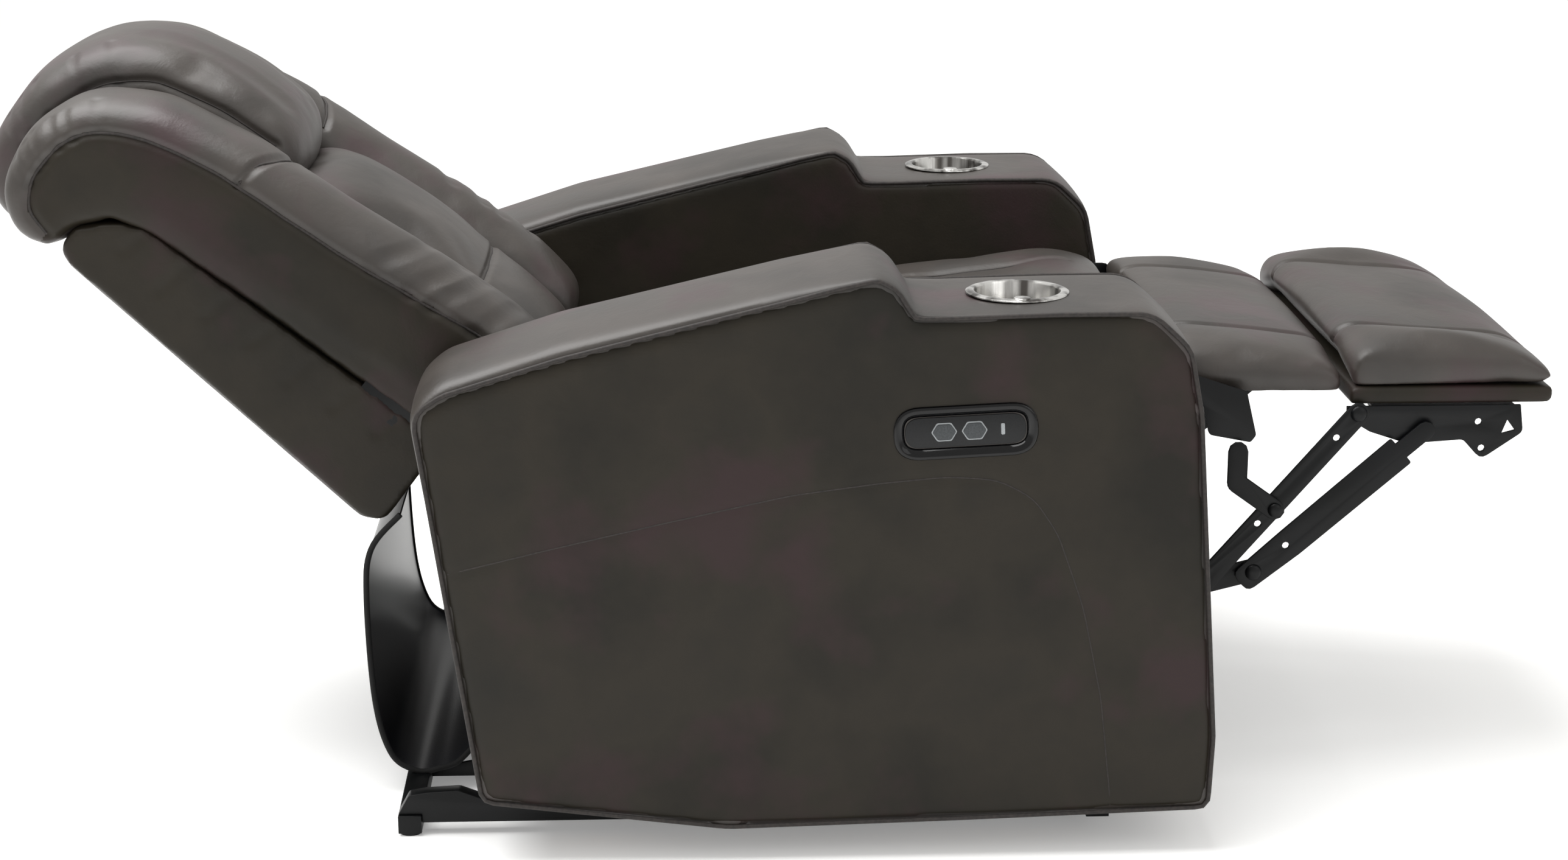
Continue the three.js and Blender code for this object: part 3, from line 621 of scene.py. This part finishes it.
def bolsters():
    piece = paddedLoft("wing_left_cover", wing["corners"], wing["inner"] + 2, wing["outer"], onBack,
                       steps=14, power=0.62)
    outerSeam = [onBack(wing["outer"] - 1, f, s) for f, s in wing["seam"]]
    across = [onBack(*spot) for spot in wing["crossSeam"]]
    remesh(piece, wing["voxel"])
    puff(piece, wing, [outerSeam, across])
    refine(piece)
    crossLine = onSurface(piece, [across])
    seamLine = onSurface(piece, [outerSeam])
    chance = random.Random(4)
    pleats = []
    for t in (0.08, 0.24, 0.33, 0.52, 0.66, 0.93):
        f = -112 + 112 * t
        s = 604 - 30 * t * t
        long = chance.uniform(12, 30)
        pleats.append([onBack(271, f, s + 2), onBack(262, f + 4, s + 12),
                       onBack(262 - long, f + 9, s + 14 + long / 4)])
    wrinkles = []
    for s in (262, 214, 187, 133):
        fall = chance.uniform(16, 34)
        wrinkles.append([onBack(270, 44, s + 6), onBack(246, 72, s - fall / 2),
                         onBack(226 - fall, 80, s - fall)])
    crease(piece, seamLine, 0.009, 0.0035)
    crease(piece, crossLine, 0.009, 0.0045)
    crease(piece, onSurface(piece, pleats), 0.010, 0.0016)
    crease(piece, onSurface(piece, wrinkles), 0.016, 0.0022)
    shadeSmooth(piece)
    threads = cords("wing_left_thread", onSurface(piece, [outerSeam, across], threadSink),
                    cordRadius["wing"])
    for side, cover, thread in (
        ("left", piece, threads),
        ("right", mirroredCopy(piece, "wing_right_cover"), mirroredCopy(threads, "wing_right_thread")),
    ):
        shadeSmooth(cover)
        shadeSmooth(thread)
        mount(cover, "back", materials["top"], "cushion_leather", f"wing_bolster_{side}", fill=0.8)
        # The flat outer side of the bolster takes the darker side copy of the leather: painted shade.
        cover.data.materials.append(materials["side"])
        sideFlat = [*wing["seam"], (0, 0), (-200, 0), (-200, 560)]
        for polygon in cover.data.polygons:
            spot = upright(polygon.center)
            if abs(polygon.center.x) * 1000 > wing["outer"] - 16 and insideOutline(sideFlat, *spot):
                polygon.material_index = 1
        mount(thread, "back", materials["thread"], "cushion_leather")
    print("side bolsters ready")


lumbar = {
    "half": 131,
    "corners": [
        (-70, 80, 6, 0), (-70, 384, 8, 0), (28, 384, 34, 18), (44, 330, 60, 22), (52, 200, 80, 24),
        (50, 110, 60, 22), (46, 30, 24, 16), (34, 18, 12, 4), (25, 46, 6, 0), (0, 54, 6, 0),
    ],
    "seamAt": 152,
    "pressure": 3.0, "cap": 0.008, "sideCap": 0.001, "voxel": 0.006, "seamHold": 0.006,
}


def lumbarCushion():
    piece = paddedLoft("lumbar_cover", lumbar["corners"], -lumbar["half"], lumbar["half"], onBack,
                       steps=14, power=0.7)
    remesh(piece, lumbar["voxel"])
    across = [onBack(x, 76 - 26 * (x / lumbar["half"]) ** 4, lumbar["seamAt"]) for x in range(-124, 125, 8)]
    puff(piece, lumbar, [across])
    refine(piece)
    line = onSurface(piece, [across])
    crease(piece, line, 0.008, 0.0035)
    shadeSmooth(piece)
    mount(piece, "back", materials["top"], "cushion_leather", "lumbar_cushion", fill=0.7)
    sewThread("lumbar_thread", piece, line, "back")
    print("lumbar cushion ready")


pillow = {
    "half": 131,
    "corners": [
        (-70, 394, 10, 0), (30, 394, 26, 22), (56, 420, 40, 34), (54, 490, 80, 36), (34, 575, 70, 39),
        (-4, 620, 60, 41), (-60, 643, 80, 41), (-132, 648, 50, 36), (-176, 624, 34, 30), (-180, 588, 28, 18),
        (-152, 556, 8, 0), (-118, 556, 10, 0), (-78, 524, 10, 0), (-70, 490, 8, 0),
    ],
    "pressure": 3.5, "cap": 0.010, "sideCap": 0.001, "voxel": 0.006, "seamHold": 0.006,
    "seam": [(-160, 590), (-150, 622), (-110, 640), (-60, 636), (-4, 614), (34, 570), (52, 490), (54, 425)],
}


def headPillow():
    piece = paddedLoft("pillow_cover", pillow["corners"], -pillow["half"], pillow["half"], onBack,
                       steps=16, power=0.55)
    remesh(piece, pillow["voxel"])
    sides = [[onBack(x, f, s) for f, s in pillow["seam"]] for x in (-122, 122)]
    puff(piece, pillow, sides)
    refine(piece)
    sides = onSurface(piece, sides)
    chance = random.Random(9)
    pleats = []
    for sign in (-1, 1):
        for t in (0.05, 0.22, 0.38, 0.61, 0.83):
            f = -120 + 150 * t + chance.uniform(-6, 6)
            s = 636 - 60 * t ** 2
            long = chance.uniform(14, 34)
            pleats.append([onBack(sign * 124, f - 2, s - 4), onBack(sign * 113, f + 6, s + 12),
                           onBack(sign * (108 - long), f + 10, s + 24)])
    dip = [[onBack(x, 86, s) for s in (610, 560, 500, 450)] for x in (-62, 66)]
    crease(piece, onSurface(piece, dip), 0.030, 0.0022)
    crease(piece, sides, 0.008, 0.003)
    crease(piece, onSurface(piece, pleats), 0.010, 0.0016)
    shadeSmooth(piece)
    mount(piece, "back", materials["top"], "cushion_leather", "head_pillow", fill=0.85)
    sewThread("pillow_thread", piece, sides, "back")
    print("head pillow ready")


shell = {
    "half": 270,
    "corners": [
        (-70, 93, 3, 0), (-180, 93, 16, 4), (-190, 112, 14, 6), (-169, 320, 60, 8), (-149, 538, 20, 6),
        (-115, 541, 10, 2), (-83, 508, 8, 0), (-71, 480, 6, 0),
    ],
    "voxel": 0.005,
}


def outsideShell():
    piece = paddedLoft("outside_back_cover", shell["corners"], -shell["half"], shell["half"], onBack,
                       steps=14, power=0.35, spacing=12)
    remesh(piece, shell["voxel"], 2)
    edges = [[onBack(x, f, s) for f, s in ((-188, 104), (-172, 320), (-152, 530))] for x in (-264, 264)]
    puckers = []
    for sign in (-1, 1):
        for k in range(7):
            s = 150 + 55 * k
            puckers.append([onBack(sign * 268, -80, s), onBack(sign * 270, -104 - 6 * (k % 3), s + 6)])
    crease(piece, onSurface(piece, edges), 0.010, 0.002)
    crease(piece, onSurface(piece, puckers), 0.010, 0.0015)
    shadeSmooth(piece)
    mount(piece, "back", materials["side"], "side_leather", "outside_back_shell", fill=0.2)
    print("outside back ready")


# ---- seat and footrest pads ----

seat = {
    "half": 277,
    "corners": [
        (-190, 348, 6, 0), (-190, 402, 8, 0), (-163, 404, 4, 0), (-158, 427, 10, 8), (50, 456, 200, 13),
        (250, 483, 200, 14), (392, 499, 60, 13), (434, 496, 12, 7), (436, 484, 6, 0), (414, 472, 8, 0),
        (409, 460, 8, 0), (409, 348, 4, 0),
    ],
    # room beside the cushion for the footrest's hinge brackets: from the middle, forward, up
    "room": ((262, 290), (358, 460), (340, 488)),
    "lip": 471, "frontBelowLip": 411,
    "pressure": 2.5, "cap": 0.008, "sideCap": 0.001, "voxel": 0.008, "seamHold": 0.008, "settle": 10,
}


def seatCushion():
    piece = paddedLoft("seat_cover", seat["corners"], -seat["half"], seat["half"], onSide,
                       steps=16, power=0.4, spacing=10)
    remesh(piece, seat["voxel"])
    lines = [[onSide(x, u, 459 + 0.12 * u + 14) for u in (-130, 0, 130, 260, 380)] for x in (-150, 150)]
    puff(piece, seat, lines)
    refine(piece)
    lines = onSurface(piece, lines)
    crease(piece, lines, 0.010, 0.003)
    for vertex in piece.data.vertices:  # the front stays behind the footrest as it hangs
        if vertex.co.z * 1000 < seat["lip"]:
            vertex.co.y = max(vertex.co.y, -seat["frontBelowLip"] / 1000)
    (near, far), (rear, front), (low, high) = seat["room"]
    for sign in (-1, 1):
        bm = bmesh.new()
        bmesh.ops.create_cube(bm, size=1)
        size = Matrix.Diagonal(((far - near) / 1000, (front - rear) / 1000, (high - low) / 1000, 1))
        centre = onSide(sign * (near + far) / 2, (rear + front) / 2, (low + high) / 2)
        bmesh.ops.transform(bm, matrix=Matrix.Translation(centre) @ size, verts=bm.verts)
        cutWith(piece, toObject("hingeRoomCutter", bm))
    shadeSmooth(piece, 60)
    mount(piece, "carriage", materials["top"], "cushion_leather", "seat_cushion", fill=0.6)
    sewThread("seat_thread", piece, lines, "carriage")
    print("seat cushion ready")


chaise = {
    "half": 260,
    "corners": [
        (452, 449, 6, 0), (632, 449, 5, 0), (633, 468, 8, 4), (614, 480, 24, 8), (540, 489, 60, 9),
        (470, 495, 40, 9), (442, 498, 8, 3), (444, 480, 8, 0),
    ],
    "channels": 150, "low": 448, "rear": 441,
    "pressure": 3.5, "cap": 0.012, "sideCap": 0.003, "voxel": 0.006, "seamHold": 0.007,
}

ottoman = {
    "half": 267,
    "corners": [
        (635, 456, 4, 0), (864, 456, 5, 0), (865, 465, 8, 3), (826, 485, 36, 7), (728, 490, 90, 9),
        (649, 498, 20, 8), (636, 481, 12, 3),
    ],
    "channels": 165, "low": 455.5, "rear": 634,
    "pressure": 3.5, "cap": 0.012, "sideCap": 0.003, "voxel": 0.006, "seamHold": 0.007,
}


def legPad(name, settings, body, *cadNodes):
    piece = paddedLoft(f"{name}_cover", settings["corners"], -settings["half"], settings["half"], onSide,
                       steps=18, power=0.26, spacing=7)
    remesh(piece, settings["voxel"], 3)
    tops = [c for c in settings["corners"] if c[3] > 2]
    lines = []
    for x in (-settings["channels"], settings["channels"]):
        bow = 10 if x > 0 else -10
        lines.append([onSide(x + bow * math.sin(i / (len(tops) - 1) * math.pi), c[0], c[1] + c[3])
                      for i, c in enumerate(tops)])
    lines = onSurface(piece, lines)
    puff(piece, settings, lines)
    refine(piece)
    for vertex in piece.data.vertices:  # flat where it lies on its board and meets the next pad
        vertex.co.z = max(vertex.co.z, settings["low"] / 1000)
        vertex.co.y = min(vertex.co.y, -settings["rear"] / 1000)
    lines = onSurface(piece, lines)
    crease(piece, lines, 0.009, 0.004)
    shadeSmooth(piece)
    mount(piece, body, materials["top"], "cushion_leather", *cadNodes, fill=0.7)
    sewThread(f"{name}_thread", piece, lines, body)
    print(f"{name} pad ready")


footBoard = {
    "half": 266,
    "corners": [(637, 434, 4, 0), (862, 434, 5, 0), (864, 452, 6, 0), (640, 454, 5, 0)],
    "voxel": 0.005,
}


def ottomanBoard():
    piece = paddedLoft("ottoman_board_cover", footBoard["corners"], -footBoard["half"], footBoard["half"],
                       onSide, steps=2, spacing=5)
    remesh(piece, footBoard["voxel"], 2)
    shadeSmooth(piece)
    mount(piece, "ottoman", materials["side"], "side_leather", "ottoman_board")
    print("footrest board ready")


# ---- arms ----

arm = {
    "inner": 286, "outer": 478, "sideThickness": 10, "voxel": 0.0055,
    "welt": 2.5,  # the side panels stand this far out from the padded band
    "pipingIn": 1.4,  # the piping's middle line, in from the side's face
    "corners": [
        (-306, 70, 16, 0), (-366, 488, 30, 8), (-335, 508, 30, 14), (-215, 545, 120, 16), (16, 602, 60, 12),
        (62, 614, 40, 8), (104, 623, 14, 5), (124, 611, 12, 6), (141, 583, 8, 6), (180, 583, 20, 4),
        (290, 586, 60, 3), (382, 586, 44, 4), (422, 548, 40, 5), (435, 480, 60, 5), (460, 130, 60, 4),
        (457, 52, 12, 2), (200, 44, 60, 0), (-50, 38, 120, 0),
    ],
    "dressSeam": [
        (-336, 320), (-232, 345), (-108, 373), (17, 400), (110, 412), (178, 418), (228, 414),
        (265, 394), (291, 355), (319, 275), (340, 175), (354, 50),
    ],
}
panel = {
    "centre": (194, 466), "length": 146, "height": 54, "side": 11, "tilt": 2.7,
    # the bezel's section: in from its edge, and how deep behind its face
    "bezel": ((0, 16), (0, -0.2), (0.8, -0.8), (2.6, -1.2), (4.2, -0.8), (10, 3.6), (10.8, 6), (10.8, 16)),
}


def onPanel(ahead, up):
    turn = math.radians(panel["tilt"])
    u = panel["centre"][0] + ahead * math.cos(turn) - up * math.sin(turn)
    z = panel["centre"][1] + ahead * math.sin(turn) + up * math.cos(turn)
    return u, z


def stadium(length, height):
    corners = []
    for a, b in ((-1, -1), (1, -1), (1, 1), (-1, 1)):
        corners.append((*onPanel(a * length / 2, b * height / 2), height / 2))
    return outline(corners, 3)


def flatRing(points, x):
    return [onSide(x, p.x, p.y) for p in points]


def armBand(side, sign):
    points = outline(arm["corners"], 9)
    normals = outward(points)
    width = arm["outer"] - arm["inner"] - 2 * arm["welt"]
    shares = [(0, 0.0), (3, 0.34), (8, 0.58), (18, 0.78), (38, 0.92), (66, 0.985), (96, 1.0)]
    stations = shares + [(width - d, s) for d, s in reversed(shares[:-1])]
    rings = [ring(points, normals, sign * (arm["inner"] + arm["welt"] + d), onSide, s) for d, s in stations]
    piece = loft(f"arm_{side}_band", rings)
    refine(piece)
    cutRound(piece, sign * cupHolder["x"], cupHolder["forward"], cupHolder["wall"] + 1)
    shadeSmooth(piece, 60)
    return piece


def cutRound(piece, x, forward, radius):
    bm = bmesh.new()
    bmesh.ops.create_cone(bm, cap_ends=True, segments=48, radius1=radius / 1000, radius2=radius / 1000,
                          depth=0.14, matrix=Matrix.Translation(onSide(x, forward, 580)))
    cutWith(piece, toObject("cutter", bm))


def cutWith(piece, cutter):
    modifier = piece.modifiers.new("cut", "BOOLEAN")
    modifier.operation = "DIFFERENCE"
    modifier.object = cutter
    modifier.solver = "EXACT"
    bpy.context.view_layer.update()
    applyModifiers(piece)
    bpy.data.objects.remove(cutter)


def madeVerts(made):
    return [item for item in made["geom"] if isinstance(item, bmesh.types.BMVert)]


def armSide(name, xFace, sign, dressed, holed):
    seam = outline(arm["corners"], 9)
    points = [Vector((p.x - n.x * 1.2, p.y - n.y * 1.2, 0)) for p, n in zip(seam, outward(seam))]
    normals = outward(points)
    back = xFace - sign * arm["sideThickness"]
    rings = [flatRing(points, back), flatRing(points, xFace - sign * 3)]
    shrunk = [Vector((p.x - n.x * 4, p.y - n.y * 4, 0)) for p, n in zip(points, normals)]
    rings.append(flatRing(shrunk, xFace))
    piece = loft(name, rings)
    remesh(piece, arm["voxel"], 3)
    if dressed:
        line = [[onSide(xFace, u, z) for u, z in arm["dressSeam"]]]
        crease(piece, onSurface(piece, line), 0.006, 0.0007)
    if holed:
        bm = bmesh.new()
        hole = stadium(panel["length"] + 2, panel["height"] + 2)
        verts = [bm.verts.new(p) for p in flatRing(hole, xFace + sign * 10)]
        bm.faces.new(verts)
        made = bmesh.ops.extrude_face_region(bm, geom=bm.faces[:])
        bmesh.ops.translate(bm, vec=(-sign * 0.04, 0, 0), verts=madeVerts(made))
        bmesh.ops.recalc_face_normals(bm, faces=bm.faces)
        cutWith(piece, toObject("panelCutter", bm))
    shadeSmooth(piece, 50)
    return piece


def arms():
    for side, sign in (("left", 1), ("right", -1)):
        band = armBand(side, sign)
        outer = armSide(f"arm_{side}_outer_panel", sign * arm["outer"], sign, True, side == "right")
        inner = armSide(f"arm_{side}_inner_panel", sign * arm["inner"], -sign, False, False)
        mount(band, "base", materials["top"], "cushion_leather", f"arm_cover_{side}", fill=0.3)
        mount(outer, "base", materials["side"], "side_leather")
        mount(inner, "base", materials["side"], "side_leather")
        seam = outline(arm["corners"], 9)
        faces = (arm["inner"] + arm["pipingIn"], arm["outer"] - arm["pipingIn"])
        edges = [flatRing(seam, sign * x) for x in faces]
        piping = cords(f"arm_{side}_piping", edges, cordRadius["piping"], cyclic=True)
        shadeSmooth(piping)
        mount(piping, "base", materials["thread"], "side_leather")
        line = [[onSide(sign * arm["outer"], u, z) for u, z in arm["dressSeam"]]]
        sewThread(f"arm_{side}_thread", outer, line, "base", cordRadius["dress"], "side_leather")
    print("arms ready")


cupHolder = {
    "x": 382, "forward": 255, "top": 592, "flange": 54, "wall": 46, "depth": 76, "sheet": 1.2, "segments": 72,
}


def cupHolders():
    top = cupHolder["top"]
    wall = cupHolder["wall"]
    flange = cupHolder["flange"]
    low = top - cupHolder["depth"]
    sheet = cupHolder["sheet"]
    inside = wall - sheet - 0.6
    profile = [
        (0, low), (wall - 6, low), (wall - 1, low + 2), (wall, low + 7), (wall, top - 5),
        (wall + 1.5, top - 3.4), (flange - 1.2, top - 3.4), (flange, top - 2.6), (flange - 0.3, top - 1.5),
        (flange - 3, top - 0.3), (wall + 1, top), (wall - 0.8, top - 0.5), (inside, top - 2.6),
        (inside, low + 8), (wall - 3, low + 4), (wall - 7, low + sheet), (0, low + sheet),
    ]
    for side, sign in (("left", 1), ("right", -1)):
        bm = bmesh.new()
        centre = onSide(sign * cupHolder["x"], cupHolder["forward"], 0)
        verts = [bm.verts.new(centre + Vector((r, 0, z)) / 1000) for r, z in profile]
        edges = [bm.edges.new(pair) for pair in zip(verts, verts[1:])]
        bmesh.ops.spin(bm, geom=verts + edges, cent=centre, axis=(0, 0, 1), angle=math.tau,
                       steps=cupHolder["segments"], use_merge=True)
        bmesh.ops.remove_doubles(bm, verts=bm.verts, dist=1e-5)
        bmesh.ops.recalc_face_normals(bm, faces=bm.faces)
        piece = toObject(f"cup_{side}_liner", bm)
        shadeSmooth(piece, 40)
        mount(piece, "base", materials["cup"], "brushed_cup", f"cup_holder_{side}")
        # the drain tab folded over the rim
        bm = bmesh.new()
        spot = centre + Vector((-(wall - 2) / 1000, 0, (top - 0.6) / 1000))
        bmesh.ops.create_cone(bm, cap_ends=True, segments=32, radius1=0.009, radius2=0.0085, depth=0.003,
                              matrix=Matrix.Translation(spot))
        bmesh.ops.bevel(bm, geom=bm.edges[:], offset=0.0006, segments=2, profile=0.5,
                        affect="EDGES", material=-1)
        tab = toObject(f"cup_{side}_tab", bm)
        shadeSmooth(tab, 40)
        mount(tab, "base", materials["cup"], "brushed_cup")
    print("cup holders ready")


# ---- switch panel ----

def prism(name, points, xLow, xHigh, bevel):
    bm = bmesh.new()
    verts = [bm.verts.new(p) for p in flatRing(points, xLow)]
    bm.faces.new(verts)
    made = bmesh.ops.extrude_face_region(bm, geom=bm.faces[:])
    top = madeVerts(made)
    bmesh.ops.translate(bm, vec=((xHigh - xLow) / 1000, 0, 0), verts=top)
    rim = [e for e in bm.edges if all(v in top for v in e.verts)]
    bmesh.ops.recalc_face_normals(bm, faces=bm.faces)
    bmesh.ops.bevel(bm, geom=rim, offset=bevel / 1000, segments=3, profile=0.5,
                    affect="EDGES", material=-1)
    return toObject(name, bm)


def switchPanel():
    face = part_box("control_bezel")[0].x * 1000
    outer = stadium(panel["length"], panel["height"])
    normals = outward(outer)
    rings = []
    for inset, depth in panel["bezel"]:
        rings.append([onSide(face + depth, p.x - n.x * inset, p.y - n.y * inset)
                      for p, n in zip(outer, normals)])
    bezel = loft("switch_bezel", rings, tube=True)
    shadeSmooth(bezel, 45)
    mount(bezel, "base", materials["gloss"], "gloss_bezel", "control_bezel")

    inner = stadium(panel["length"] - 2 * panel["side"] - 0.5, panel["height"] - 2 * panel["side"] - 0.5)
    faceplate = prism("switch_plate", inner, face + 12, face + 3.4, 0.5)
    shadeSmooth(faceplate, 40)
    mount(faceplate, "base", materials["matt"], "black_plastic", "control_plate")

    for name, u in (("button_open", 172), ("button_close", 203)):
        shapes = []
        for grow in (0, 1.4):
            tip, high, flat = 12 + grow, 8.25 + grow, 0.55 * (12 + grow)
            corners = [(-tip, 0, 2), (-flat, -high, 3), (flat, -high, 3),
                       (tip, 0, 2), (flat, high, 3), (-flat, high, 3)]
            shapes.append(outline([(*onPanel(u - panel["centre"][0] + a, b), r) for a, b, r in corners], 1.5))
        capPoints, rimPoints = shapes
        rim = prism(f"{name}_rim", rimPoints, face + 6, face + 3.1, 0.4)
        shadeSmooth(rim, 40)
        mount(rim, "base", materials["buttonRim"], "button_plastic")
        cap = prism(f"{name}_cap", capPoints, face + 8, face + 1.6, 0.8)
        shadeSmooth(cap, 40)
        mount(cap, name, materials["button"], "button_plastic", name)

    slot = outline([(*onPanel(38 + a, b), 1) for a, b in ((-2, -6), (2, -6), (2, 6), (-2, 6))], 1.5)
    lamp = prism("charge_slot", slot, face + 8, face + 3.0, 0.4)
    shadeSmooth(lamp, 40)
    mount(lamp, "base", materials["buttonRim"], "button_plastic", "usb_socket")
    print("switch panel ready")


# ---- steelwork ----

steelNodes = {
    "base": ["rear_cross_tube", "front_cross_tube", "base_rail_left", "base_rail_right", "track_rail_left",
             "track_rail_right"],
    "carriage": ["seat_side_plate_left", "seat_side_plate_right", "seat_rear_tube", "seat_front_tube"],
    "front_swing": ["front_swing"], "rear_swing": ["rear_swing"],
    "back": ["back_bracket_left", "back_bracket_right"],
    "rear_link": ["rear_link_left", "rear_link_right", "torsion_tube"],
    "front_link": ["front_link_left", "front_link_right"],
    "stay_link": ["stay_link_left", "stay_link_right"],
    "bent_link": ["bent_link_left", "bent_link_right"],
    "ottoman": ["ottoman_bracket_left", "ottoman_bracket_right"],
    "chaise": ["chaise_bracket_left", "chaise_bracket_right"],
}


# The pressed part with its edges eased, as tumbling and paint leave them.
def easedCopy(name, ease):
    bm = bmesh.new()
    bm.from_mesh(nodes[name].data)
    bmesh.ops.remove_doubles(bm, verts=bm.verts, dist=1e-5)
    bmesh.ops.dissolve_limit(bm, angle_limit=math.radians(1), verts=bm.verts, edges=bm.edges)
    sharp = [e for e in bm.edges if len(e.link_faces) == 2 and e.calc_face_angle(0) > math.radians(40)]
    bmesh.ops.bevel(bm, geom=sharp, offset=ease, segments=2, profile=0.5, affect="EDGES", material=-1,
                    clamp_overlap=True)
    piece = toObject(f"{name}_eased", bm)
    shadeSmooth(piece, 35)
    return piece


def steelwork():
    for body, names in steelNodes.items():
        for name in names:
            mount(easedCopy(name, 0.0007), body, materials["steel"], "black_steel", name)
    print("steelwork ready")


def rivet(name, spot, sign, radius, body):
    bm = bmesh.new()
    bmesh.ops.create_uvsphere(bm, u_segments=20, v_segments=10, radius=radius)
    bmesh.ops.bisect_plane(bm, geom=bm.verts[:] + bm.edges[:] + bm.faces[:], plane_co=(0, 0, 0),
                           plane_no=(1, 0, 0), clear_inner=True)
    bmesh.ops.holes_fill(bm, edges=[e for e in bm.edges if e.is_boundary])
    flattened = Matrix.Diagonal((0.45 * sign, 1, 1, 1))
    bmesh.ops.transform(bm, matrix=Matrix.Translation(spot) @ flattened, verts=bm.verts)
    bmesh.ops.recalc_face_normals(bm, faces=bm.faces)
    piece = toObject(name, bm)
    shadeSmooth(piece, 50)
    mount(piece, body, materials["steel"], "black_steel")


# each pivot's link, how far out its heads lie, and their radius
rivets = {
    "front_link_turn": ("front_link", 275.8, 9), "stay_link_turn": ("stay_link", 275.8, 9),
    "bent_link_turn": ("bent_link", 282, 8), "ottoman_turn": ("front_link", 275.8, 9),
}


def rivetHeads():
    for joint, (body, layer, radius) in rivets.items():
        spot = joints[joint]["pos_m"]
        for sign in (-1, 1):
            side = "left" if sign > 0 else "right"
            place = Vector((sign * layer / 1000, spot[1], spot[2]))
            rivet(f"rivet_{joint}_{side}", place, sign, radius / 1000, body)
    print("rivets ready")


# ---- sling under the back ----

sling = {
    "half": 271, "narrowHalf": 239,  # narrower ahead, where it passes between the swing arms
    "wideTo": -345, "narrowFrom": -300,
    "thickness": 0.0018, "columns": 24,
    "route": [
        (-400, 323), (-433, 284), (-440, 226), (-435, 110), (-420, 48), (-396, 27), (-370, 27),
        (-330, 48), (-250, 150), (-202, 252),
    ],
}


def slingHalf(spot):
    t = (-spot.y * 1000 - sling["wideTo"]) / (sling["narrowFrom"] - sling["wideTo"])
    return (sling["half"] + (sling["narrowHalf"] - sling["half"]) * max(0, min(1, t))) / 1000


def smoothRoute(spots, steps):
    laid = []
    for i in range(len(spots) - 1):
        a, b, c, d = spots[max(i - 1, 0)], spots[i], spots[i + 1], spots[min(i + 2, len(spots) - 1)]
        for k in range(steps):
            t = k / steps
            laid.append(0.5 * (2 * b + (c - a) * t + (2 * a - 5 * b + 4 * c - d) * t * t
                               + (3 * b - a - 3 * c + d) * t ** 3))
    return laid + [spots[-1]]


def makeSling():
    route = smoothRoute([onSide(0, u, z) for u, z in sling["route"]], 8)
    bm = bmesh.new()
    verts = [bm.verts.new(p - Vector((1, 0, 0))) for p in route]
    edges = [bm.edges.new(pair) for pair in zip(verts, verts[1:])]
    for _ in range(sling["columns"]):
        made = bmesh.ops.extrude_edge_only(bm, edges=edges)
        edges = [e for e in made["geom"] if isinstance(e, bmesh.types.BMEdge)]
        bmesh.ops.translate(bm, vec=(2 / sling["columns"], 0, 0), verts=madeVerts(made))
    for vertex in bm.verts:
        vertex.co.x *= slingHalf(vertex.co)
    cloth = toObject("sling_cloth", bm)
    solid = cloth.modifiers.new("thickness", "SOLIDIFY")
    solid.thickness = sling["thickness"]
    solid.offset = 0
    applyModifiers(cloth)
    shadeSmooth(cloth, 60)
    sides = [[p + Vector((sign * slingHalf(p), 0, 0)) for p in route] for sign in (-1, 1)]
    hems = cords("sling_hem", sides, cordRadius["hem"])
    shadeSmooth(hems)
    for piece, material in ((cloth, materials["vinyl"]), (hems, materials["dust"])):
        piece.data.materials.clear()
        piece.data.materials.append(material)
        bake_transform(piece)
    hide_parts("rear_flap")


# ---- carried-over parts ----

def finishCadNodes():
    finishes = {
        "pine": ["arm_frame_left", "arm_frame_right", "seat_rail_left", "seat_rail_right"],
        "matt": ["rear_foot_left", "rear_foot_right", "front_foot_left", "front_foot_right",
                 "power_inlet", "drive_motor"],
        "dust": ["seat_deck", "back_frame"],
        "cup": ["drive_rod"],
    }
    for finish, names in finishes.items():
        for name in names:
            nodes[name].data.materials.clear()
            nodes[name].data.materials.append(materials[finish])
    print("carried-over parts finished")


bolsters()
lumbarCushion()
headPillow()
outsideShell()
seatCushion()
legPad("chaise", chaise, "chaise", "chaise_pad", "chaise_board")
legPad("ottoman", ottoman, "ottoman", "ottoman_pad")
ottomanBoard()
arms()
cupHolders()
switchPanel()
steelwork()
rivetHeads()
makeSling()
finishCadNodes()

print("all pieces ready")
